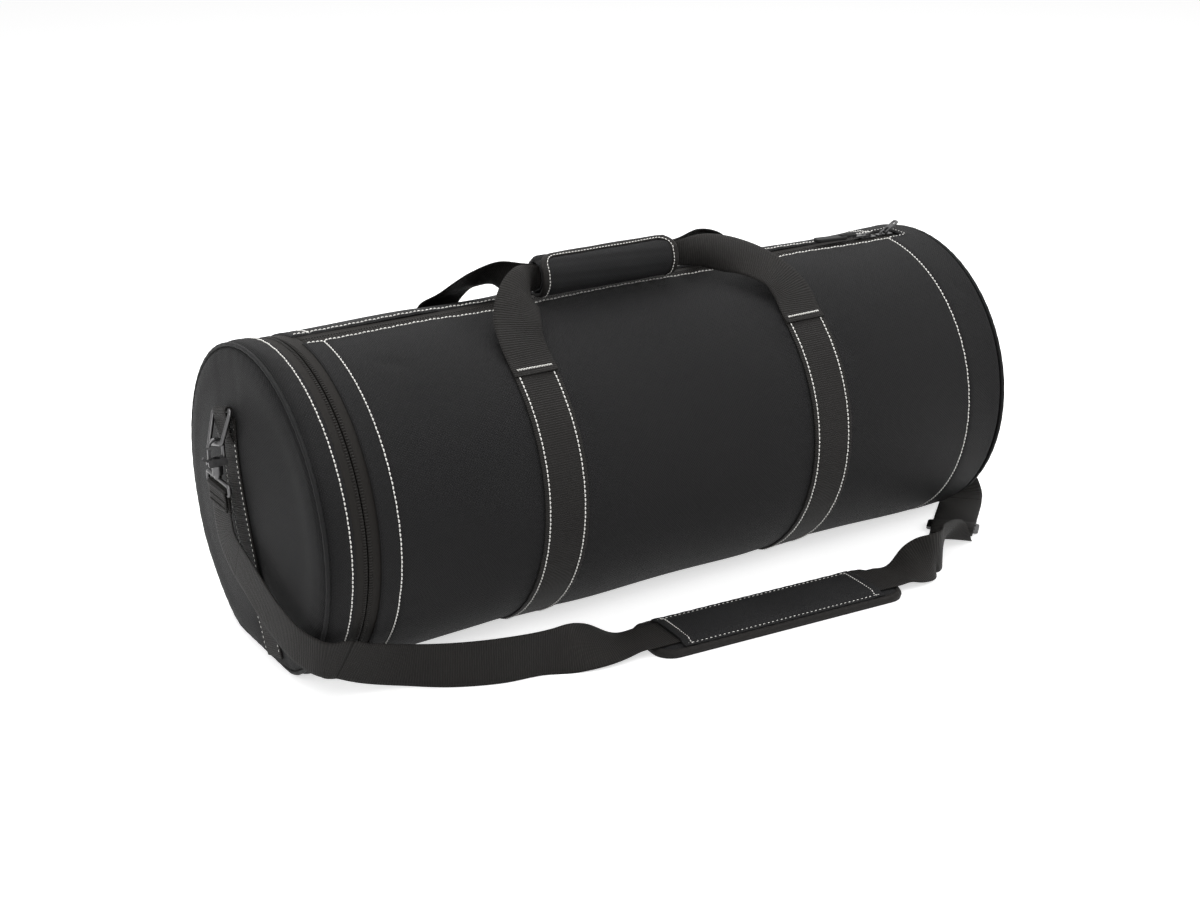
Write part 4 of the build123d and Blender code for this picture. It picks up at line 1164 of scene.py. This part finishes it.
xs = np.unique(np.concatenate([folded(-GRIP_HALF, GRIP_HALF, 4)]))
turns = np.linspace(0, 2 * math.pi, 73)[:-1]
X, T = np.meshgrid(xs, turns, indexing="ij")
behind = ease(np.cos(T), -0.25, 0.1)
edge = GRIP_HALF - np.abs(X)
outer, normals = on_roll(X, T,
                         -3.9 * behind - 1.8 * np.exp(-((edge / 1.8) ** 2))
                         + 0.5 * np.exp(-(((edge - 9) / 6) ** 2)))
outer -= normals * (0.7 * np.exp(-(((edge - 7.5) / 1.0) ** 2)) * (1 - behind))[..., None]
depth = 6.0 - 2.6 * behind - 1.6 * np.exp(-((edge / 1.8) ** 2))
maps = np.stack(np.broadcast_arrays(xs[:, None], (np.append(turns, 2 * math.pi) * 20)[None]), -1)
wrap = slab("grip_wrap_padded", outer, normals, depth, maps, grip_cloth, closed=True)
swap(wrap, "grip_wrap", body="grip")

FLAP_LOW, FLAP_TOP, FLAP_CORNER = math.radians(-97), math.radians(90), 20.0
ARC = 20.2
flap_long = (FLAP_TOP - FLAP_LOW) * ARC


def on_flap(x, t, grow=0.0):
    """Points and normals on the flap: x along the grip, t round it from the flap's lower edge."""
    turn = FLAP_LOW + np.asarray(t, float) / ARC
    over = 0.8 * ease(turn, math.radians(70), math.radians(92))
    return on_roll(x, turn, grow + 0.5 + over)


def flap_reach(x):
    """How far the flap goes at x, with its free corners rounded."""
    into = np.clip(FLAP_CORNER - (GRIP_HALF + 0.8 - np.abs(x)), 0, FLAP_CORNER)
    return flap_long - FLAP_CORNER + np.sqrt(FLAP_CORNER**2 - into**2)


near = np.array([0, 0.8, 2, 4, 7, 10, 14, 18, 23])
half_x = GRIP_HALF + 0.8
xs = np.concatenate([-half_x + near, np.linspace(-half_x + 28, half_x - 28, 26), (half_x - near)[::-1]])
ts = np.linspace(0, 1, 44)
X, V = np.meshgrid(xs, ts, indexing="ij")
T = V * flap_reach(X)
edge = np.minimum(half_x - np.abs(X), np.minimum(T, flap_reach(X) - T))
puff = (0.9 * ease(edge, 5, 16) - 0.8 * np.exp(-(((edge - 8.3) / 1.1) ** 2))
        + 0.25 * np.sin(X / 2.2 + np.sin(T / 9)) * np.exp(-np.abs(edge - 8.3) / 5))
outer, normals = on_flap(X, T, puff)
flap = slab("grip_flap_padded", outer, normals, 3.3 + puff * 0.7, np.stack([X, T], -1), grip_cloth)
swap(flap, "grip_flap", body="grip_flap")


def border(half_long, low, high, corner, low_corner=0.0, step=2.0):
    """The edge line of a flat piece, from one lower corner round to the other, and its inward directions."""
    points, inward = [], []

    def straight(a, b, n):
        a, b = np.array(a, float), np.array(b, float)
        for k in np.linspace(0, 1, max(2, int(np.linalg.norm(b - a) / step)), endpoint=False):
            points.append(a + (b - a) * k)
            inward.append(n)

    def bend(centre, size, start):
        for a in np.linspace(start, start - 90, 12, endpoint=False):
            d = np.array([math.cos(math.radians(a)), math.sin(math.radians(a))])
            points.append(np.array(centre) + size * d)
            inward.append(-d)

    straight((-half_long, low + low_corner), (-half_long, high - corner), (1.0, 0.0))
    bend((-half_long + corner, high - corner), corner, 180)
    straight((-half_long + corner, high), (half_long - corner, high), (0.0, -1.0))
    bend((half_long - corner, high - corner), corner, 90)
    straight((half_long, high - corner), (half_long, low + low_corner), (-1.0, 0.0))
    if low_corner:
        bend((half_long - low_corner, low + low_corner), low_corner, 0)
        straight((half_long - low_corner, low), (-half_long + low_corner, low), (0.0, 1.0))
        bend((-half_long + low_corner, low + low_corner), low_corner, -90)
    else:
        points.append(np.array((half_long, low)))
        inward.append((-1.0, 0.0))
    return np.array(points), np.array(inward, float)


line, inward = border(half_x, 0.0, flap_long, FLAP_CORNER)
rings = [(7.6, 0.3), (7.2, 0.95), (4.0, 1.1), (1.2, 0.9), (-0.4, 0.1), (-0.9, -1.3), (-0.4, -2.6),
         (1.5, -3.4), (7.2, -3.5)]
far = np.concatenate([[0], np.cumsum(np.linalg.norm(np.diff(line, axis=0), axis=1))])
tape = np.zeros((len(line), len(rings), 3))
for k, (into, grow) in enumerate(rings):
    where = line + inward * into
    tape[:, k], _ = on_flap(where[:, 0], where[:, 1], grow)


def tube_faces(rows, around, closed_rows=False):
    """Faces of a tube of points, closed round its section, with capped ends unless its rows close too."""
    faces, places = [], []
    for i in range(rows if closed_rows else rows - 1):
        for k in range(around):
            n, m = (i + 1) % rows, (k + 1) % around
            faces.append((i * around + k, i * around + m, n * around + m, n * around + k))
            places.append(((i, k), (i, k + 1), (i + 1, k + 1), (i + 1, k)))
    if not closed_rows:
        faces.append(tuple(range(around - 1, -1, -1)))
        faces.append(tuple((rows - 1) * around + k for k in range(around)))
        places.append(tuple((0, k) for k in range(around - 1, -1, -1)))
        places.append(tuple((rows - 1, k) for k in range(around)))
    return faces, places


def tube(name, points, far, paint, closed_rows=False):
    """A closed strip from its rows of section points."""
    rows, around = points.shape[:2]
    faces, places = tube_faces(rows, around, closed_rows)
    middle = points.mean(1)
    i = rows // 2
    a, b, c = points[i, 0], points[i, 1], points[(i + 1) % rows, 0]
    if np.dot(np.cross(b - a, c - a), a - middle[i]) < 0:
        faces, places = [f[::-1] for f in faces], [p[::-1] for p in places]
    wide = np.concatenate([[0], np.cumsum(np.linalg.norm(np.diff(points[i], axis=0), axis=1))])
    wide = np.append(wide, wide[-1] + 3)
    far = np.append(far, far[-1] + 2)
    uv = [(far[r] * MM, wide[k] * MM) for four in places for r, k in four]
    return new_piece(name, points.reshape(-1, 3), faces, paint, uv)


flap_binding = tube("grip_flap_binding_tape", tape, far, binding_tape)
swap(flap_binding, "grip_flap_binding", body="grip_flap")
flap_stitches = Seams("grip_flap_stitches")
where = line + inward * 6.0
at, normals = on_flap(where[:, 0], where[:, 1], 1.0)
flap_stitches.line(at[3:-3], normals[3:-3], pitch=3.7, length=3.0, width=0.95)
swap(flap_stitches.make(), body="grip_flap")
print("grip made")

# %% [markdown]
# ## Shoulder pad
# The pad is foam between a dimpled backing and a cloth face, all bound round with tape. A sleeve of the same
# cloth is sewn over it along both sides, and the strap runs through that tunnel. The seams draw the cloth
# down and pucker it, so the height is a sum of a rounded edge, a low crown, the dips of the seams and short
# ripples.

# %% Shoulder pad
pad_low, pad_high = (np.array(c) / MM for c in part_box("pad_backing"))
PAD_MIDDLE = (pad_low + pad_high)[:2] / 2
PAD_TURN = math.radians(-3.5)
PAD_HALF, PAD_SIDE, PAD_CORNER = 155.0, 40.0, 22.0


def on_pad(along, across, height):
    """Points in the case's frame from places on the pad."""
    along, across, height = np.broadcast_arrays(along, across, height)
    x = PAD_MIDDLE[0] + along * math.cos(PAD_TURN) - across * math.sin(PAD_TURN)
    y = PAD_MIDDLE[1] + along * math.sin(PAD_TURN) + across * math.cos(PAD_TURN)
    return np.stack([x, y, height], -1)


def pad_grid(inset, steps_long, steps_wide):
    """A grid over the pad's round-cornered outline, and each point's distance from the outline."""
    half, wide, corner = PAD_HALF - inset, PAD_SIDE - inset, PAD_CORNER - inset
    close = np.array([0, 0.6, 1.5, 3, 5, 8, 12, 17])
    xs = np.concatenate([-half + close, np.linspace(-half + 22, half - 22, steps_long), (half - close)[::-1]])
    into = np.clip(corner - (half - np.abs(xs)), 0, corner)
    reach = wide - corner + np.sqrt(corner**2 - into**2)
    v = np.concatenate([-1 + close[:6] / wide, np.linspace(-0.72, 0.72, steps_wide),
                        (1 - close[:6] / wide)[::-1]])
    A, V = np.meshgrid(xs, v, indexing="ij")
    B = V * reach[:, None]
    qa, qb = np.abs(A) - (half - corner), np.abs(B) - (wide - corner)
    gap = corner - (np.hypot(np.maximum(qa, 0), np.maximum(qb, 0)) + np.minimum(np.maximum(qa, qb), 0))
    return A, B, np.maximum(gap, 0)


upward_all = lambda shape: np.broadcast_to((0.0, 0.0, 1.0), shape + (3,))
A, B, gap = pad_grid(0.6, 60, 15)
back_piece = slab("pad_back", on_pad(A, B, 1.2 - 0.5 * np.exp(-gap)), upward_all(A.shape),
                  1.2 - 0.5 * np.exp(-gap), np.stack([A, B], -1), backing)
swap(back_piece, "pad_backing", body="shoulder_pad")
A, B, gap = pad_grid(1.6, 120, 19)
rounding = np.sqrt(1 - (1 - np.clip(gap / 7, 0, 1)) ** 2)
face_height = 1.6 + 6.1 * rounding + 0.8 * ease(gap, 8, 24) - 1.0 * np.exp(-(((gap - 6) / 1.5) ** 2))
face_height += 0.3 * np.sin((A + B) / 2.7 + np.sin(A / 21)) * np.exp(-gap / 9)
pad_face = slab("pad_face", on_pad(A, B, face_height), upward_all(A.shape), face_height - 1.3,
                np.stack([A, B], -1), grip_cloth)
swap(pad_face, "pad_foam", "pad_cloth", body="shoulder_pad")

line, inward = border(PAD_HALF, -PAD_SIDE, PAD_SIDE, PAD_CORNER, PAD_CORNER)
far = np.concatenate([[0], np.cumsum(np.linalg.norm(np.diff(line, axis=0), axis=1))])
section = [(6.6, 6.9), (5.8, 7.7), (3.4, 7.7), (1.3, 6.6), (0.1, 4.8), (-0.2, 3.0), (0.5, 1.3), (2.0, 0.25),
           (6.4, 0.2)]
tape = np.zeros((len(line), len(section), 3))
for k, (into, height) in enumerate(section):
    where = line + inward * into
    pucker = 0.22 * np.sin(far / 1.9 + np.sin(far / 17)) * (height > 2)
    tape[:, k] = on_pad(where[:, 0], where[:, 1], height + pucker)
pad_binding = tube("pad_binding_tape", tape, far, binding_tape, closed_rows=True)
swap(pad_binding, "pad_binding", body="shoulder_pad")

SLEEVE_HALF, SLEEVE_SIDE, SLEEVE_SEAM = 125.0, 35.5, 31.5
xs = np.concatenate([-SLEEVE_HALF + np.array([0, 0.7, 2, 5, 8, 10.5, 12, 13.5]),
                     np.linspace(-SLEEVE_HALF + 17, SLEEVE_HALF - 17, 120),
                     (SLEEVE_HALF - np.array([0, 0.7, 2, 5, 8, 10.5, 12, 13.5]))[::-1]])
vs = np.unique(np.concatenate([np.linspace(-27, 27, 17),
                               [-35.5, -35, -33.5, -32.3, -31.5, -30.5, -29, 29, 30.5, 31.5, 32.3, 33.5, 35,
                                35.5]]))
A, B = np.meshgrid(xs, vs, indexing="ij")
end_gap, side_gap = SLEEVE_HALF - np.abs(A), SLEEVE_SIDE - np.abs(B)
height = 9.5 + 2.6 * ease(29.5 - np.abs(B), 0, 5.5) + 0.7 * np.cos(B / 27 * 1.4) * (np.abs(B) < 30)
height += (0.5 * ease(-end_gap, -12.6, -11.8) - 0.45 * np.exp(-(((end_gap - 9.5) / 1.2) ** 2))
           - 0.4 * np.exp(-end_gap / 0.6))
height += -0.55 * np.exp(-(((np.abs(B) - SLEEVE_SEAM) / 1.1) ** 2)) - 0.5 * np.exp(-side_gap / 0.6)
height += 0.28 * np.sin(A / 2.4 + 2 * np.sin(A / 31)) * np.exp(-np.abs(np.abs(B) - SLEEVE_SEAM) / 5)
height += 0.35 * np.sin(A / 19 + B / 23) * np.sin(A / 47 + 1) * ease(29 - np.abs(B), 0, 8)
sleeve = slab("pad_sleeve_cloth", on_pad(A, B, height), upward_all(A.shape), 0.9, np.stack([A, B], -1),
              grip_cloth)
swap(sleeve, "pad_sleeve", body="shoulder_pad")
pad_stitches = Seams("pad_stitches")
rows = np.linspace(-SLEEVE_HALF + 3, SLEEVE_HALF - 3, 150)
for side in (-1, 1):
    edge = on_pad(rows, side * SLEEVE_SEAM, 9.3 - 0.1)
    pad_stitches.line(edge, upward_all(rows.shape), pitch=5.4, length=2.6, width=0.9)
    cross = np.linspace(-SLEEVE_SIDE + 1.5, SLEEVE_SIDE - 1.5, 60)
    rise = (9.5 + 2.6 * ease(29.5 - np.abs(cross), 0, 5.5)
            + 0.7 * np.cos(cross / 27 * 1.4) * (np.abs(cross) < 30))
    pad_stitches.line(on_pad(side * (SLEEVE_HALF - 9.5), cross, rise + 0.15), upward_all(cross.shape),
                      pitch=3.6, length=3.1, width=1.0)
swap(pad_stitches.make(), body="shoulder_pad")
print("pad made")

# %% [markdown]
# ## Shoulder strap
# The strap hangs from a hook at each end and lies along the front on its edge, as stiff webbing does. Only
# what lies on the floor stays with the case. Each leg above it is cut into lengths where a joint is.

# %% Shoulder strap
across_pad = on_pad(0, 1, 0) - on_pad(0, 0, 0)
glide_dir, glide_across = unit([-0.74, -0.67, 0]), unit([0.67, -0.74, 0])
floor_corner = np.array([450.0, -82.0, 0.8])
flat_end = floor_corner + glide_dir * 125
STRAP_UP = (0, 0, 1)
corner_in = (-404, -152.5, 48.5, 0, -0.35, 0.94, WEB_WIDE, 5)
on_floor = [
    corner_in,
    (-386, -154, 41, 0, -0.30, 0.95, WEB_WIDE, 7),
    (-345, -158.5, 29, 0, -0.20, 0.98, WEB_WIDE, 8),
    (-303, -177, 25.2, 0, -0.08, 1, WEB_WIDE, 5),
    (-257, -195, 25, 0, -0.02, 1, WEB_WIDE, 3),
    (-206, -205, 25, *STRAP_UP, WEB_WIDE, 6),
    (-160, -206, 20, 0, 0.7, 0.7, WEB_WIDE, 8),
    (*on_pad(-173.0, 0, 9.8), *across_pad, WEB_WIDE, 0),
    (*on_pad(-150.0, 0, 9.6), *across_pad, WEB_WIDE, 0),
    (*on_pad(-100.0, 0, 9.6), *across_pad, WEB_WIDE, 0),
    (*on_pad(100.0, 0, 9.6), *across_pad, WEB_WIDE, 0),
    (*on_pad(150.0, 0, 9.6), *across_pad, WEB_WIDE, 0),
    (*on_pad(173.0, 0, 9.8), *across_pad, WEB_WIDE, 0),
    (256, -228, 19, 0, 0.7, 0.7, WEB_WIDE, 6),
    (276, -230, 25, *STRAP_UP, WEB_WIDE, 8),
    (288, -227, 25, *STRAP_UP, WEB_WIDE, 4),
    (299, -217, 25, *STRAP_UP, WEB_WIDE, 0),
    (330, -188, 20, *(glide_across * 0.7 + (0, 0, 0.7)), WEB_WIDE, 6),
    (*flat_end, *glide_across, WEB_WIDE, 0),
    (*((flat_end + floor_corner) / 2), *glide_across, WEB_WIDE, 0),
    (*floor_corner, *glide_across, WEB_WIDE, 0),
]


def strap_leg(name, stations, steps, outward, links, node):
    """A hanging leg as lengths, cut where it rises past each joint's height. links is ((height, lower body, upper
    body), ...).
    The first station lies on the floor run, so that the leg leaves the second one in line with it."""
    probe, line = webbing_run("probe", stations, steps, outward)
    bpy.data.objects.remove(probe)
    row, pieces = int(np.argmin(np.linalg.norm(line - stations[1][:3], axis=1))), []
    for k, (height, lower, upper) in enumerate(links):
        past = [i for i in range(row + 3, steps) if line[i, 2] >= height]
        stop = past[0] if past and k < len(links) - 1 else steps - 1
        length, _ = webbing_run(f"{name}_{upper}", stations, steps, outward, part=slice(row, stop + 1))
        tuple(line[row] * MM)
        tuple(line[stop] * MM)
        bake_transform(length)
        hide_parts(node)
        pieces.append(length)
        row = stop
    return pieces


left_top, right_top = np.array([-452.94, 19.02, 176.2]), np.array([452.94, 19.02, 176.2])
left_leg = [
    on_floor[1],
    corner_in,
    (-424, -150.5, 53, 0, -0.42, 0.90, WEB_WIDE, 5),
    (-438.5, -126, 60, 0, -0.50, 0.86, WEB_WIDE, 6),
    (-446, -85, 76, 0, -0.60, 0.80, WEB_WIDE, 4),
    (-450, -45, 98, 0, -0.60, 0.80, WEB_WIDE, 2),
    (-452.9, 6, 128, 0, -0.94, 0.35, WEB_WIDE, 4),
    (*left_top, 0, -1, 0, 46, 6),
]
right_leg = [
    on_floor[-2],
    on_floor[-1],
    (462, -68, 4, *glide_across, WEB_WIDE, 5),
    (458.9, -45, 28, 0.35, -0.9, 0, WEB_WIDE, 8),
    (452.9, 7, 116, 0, -1, 0, WEB_WIDE, 3),
    (*right_top, 0, -1, 0, 46, 6),
]
floor_stations = [left_leg[2], *on_floor, right_leg[2]]
floor_steps = 660
probe, floor_line = webbing_run("probe", floor_stations, floor_steps, np.array([0, -1.0, 0]))
bpy.data.objects.remove(probe)
first, last = (int(np.argmin(np.linalg.norm(floor_line - floor_stations[k][:3], axis=1))) for k in (1, -2))
floor_run, floor_line = webbing_run("shoulder_strap", floor_stations, floor_steps, np.array([0, -1.0, 0]),
                                    part=slice(first, last + 1))
floor_line = floor_line[first : last + 1]
swap(floor_run, "strap_floor_left", "strap_pad_run", "strap_floor_right", body="case")
left_links = [(112, "case", "lid"), (135, "lid", "ring_left"), (156, "ring_left", "hook_left"),
              (999, "hook_left", "eye_left")]
right_links = [(90, "case", "ring_right"), (140, "ring_right", "hook_right"),
               (999, "hook_right", "eye_right")]
left_pieces = strap_leg("strap_left", left_leg, 150, np.array([-0.1, -1.0, 0.5]), left_links,
                        "strap_leg_left")
right_pieces = strap_leg("strap_right", right_leg, 130, np.array([0.2, 0, 1.0]), right_links,
                         "strap_leg_right")
for side, hand, top_at in ((-1, "left", left_top), (1, "right", right_top)):
    bar = top_at + (0, 0, 3.8)
    out_dir, up_dir, wide_dir = np.array([side, 0, 0.0]), np.array([0, 0, 1.0]), np.array([0, -1.0, 0])
    path = [bar + out_dir * 1.9 - up_dir * 19, bar + out_dir * 2.0 - up_dir * 11]
    path += [bar + 3.1 * (out_dir * math.cos(a) + up_dir * math.sin(a)) for a in np.radians([-35, 0, 45, 90,
            135, 180, 215])]
    path += [bar - out_dir * 1.9 - up_dir * 11, bar - out_dir * 1.9 - up_dir * 20]
    turned_end, _ = webbing_run(f"strap_end_{hand}", [(*q, *wide_dir, 46, 0) for q in path], 90, out_dir,
                                thick=1.5, columns=7)
    swap(turned_end, f"strap_leg_{hand}", body=f"eye_{hand}")
    end_tack = Seams(f"strap_end_tack_{hand}")
    for drop in (9, 16):
        middle = bar + out_dir * 2.8 - up_dir * drop
        end_tack.bar(middle - wide_dir * 19, middle + wide_dir * 19, out_dir, depth=1.9)
    tack = end_tack.make()
    tack.data.materials[0] = webbing
    swap(tack, body=f"eye_{hand}")

plate = floor_corner + glide_dir * 95
hump = []
for step, height in ((-21, 2.7), (-14, 3.6), (-7, 6.3), (0, 6.9), (7, 6.3), (14, 3.6), (21, 2.7)):
    hump.append((*(plate[:2] + glide_dir[:2] * step), height, *glide_across, WEB_WIDE - 1, 0))
hump_piece, _ = webbing_run("glide_webbing_turn", hump, 40, np.array([0, 0, 1.0]), columns=9)
swap(hump_piece, "glide_webbing", body="tri_glide")
left_pieces + right_pieces

# %% [markdown]
# ## White stitches
# The case's stitches are the brightest thing on it. Each line follows the cloth's relief at its own place,
# and the rings stop at the top zip. Lines on the lid follow the height of the lid's rim cloth.

# %% White stitches
ring = np.arange(FLAT * 0.9, PERIMETER - FLAT * 0.9, 2.0)
open_ring = ring[np.abs(ring - PERIMETER / 2) > SLOT_STITCH]
wall_stitches = Seams("wall_stitches")
for x in (BODY_STITCH, END_STITCH):
    for part in (open_ring[open_ring < PERIMETER / 2], open_ring[open_ring > PERIMETER / 2]):
        line, normals = on_wall(x, part, 0.5)
        wall_stitches.line(line, normals)
for side in (1, -1):
    xs = np.linspace(BODY_EDGE + 3, SLOT_END + 3, 400)
    line, normals = on_wall(xs, on_top(side * SLOT_STITCH), 0.4)
    wall_stitches.line(line, normals)
line, normals = on_wall(SLOT_END + 4.5, on_top(np.linspace(-SLOT_STITCH, SLOT_STITCH, 30)), 0.3)
wall_stitches.line(line, normals)
swap(wall_stitches.make(), body="case")

lid_stitches = Seams("lid_stitches")
rim_at = float(np.interp(LID_SEAM_STITCH, folded(rim_start, LID_EDGE, 2.6),
                         np.arange(len(folded(rim_start, LID_EDGE, 2.6)))))
rim_rows = rim_height[int(rim_at)] * (1 - rim_at % 1) + rim_height[int(rim_at) + 1] * (rim_at % 1)
rim_ring = np.arange(0, PERIMETER, 3.6)
place, face = outline(ring)
heights = np.interp(ring, rim_ring, rim_rows) + 0.25
line = np.concatenate([np.full((len(ring), 1), LID_SEAM_STITCH), place + face * heights[:, None]], -1)
lid_stitches.line(line, np.concatenate([np.zeros((len(ring), 1)), face], -1))
with_lid(lid_stitches.make())

# %% [markdown]
# ## Metal and moulded parts
# The CAD shapes of the hardware are already right, so they stay as they are and only get their finishes.

# %% Hardware finishes
metal_nodes = ["top_slider_a", "top_slider_b", "top_pull_a", "top_pull_b", "lid_slider", "lid_pull",
               "tri_glide"]
metal_nodes += [f"{part}_{hand}" for part in ("d_ring", "snap_hook", "hook_gate",
                                              "hook_eye") for hand in ("left", "right")]
for paint, names in ((gunmetal, metal_nodes), (cord_cloth, ["pull_cord"]), (soft_plastic, ["pull_tab"])):
    for name in names:
        for holder in nodes[name].material_slots:
            holder.material = paint
print("hardware pieces:", len(metal_nodes) + 2)
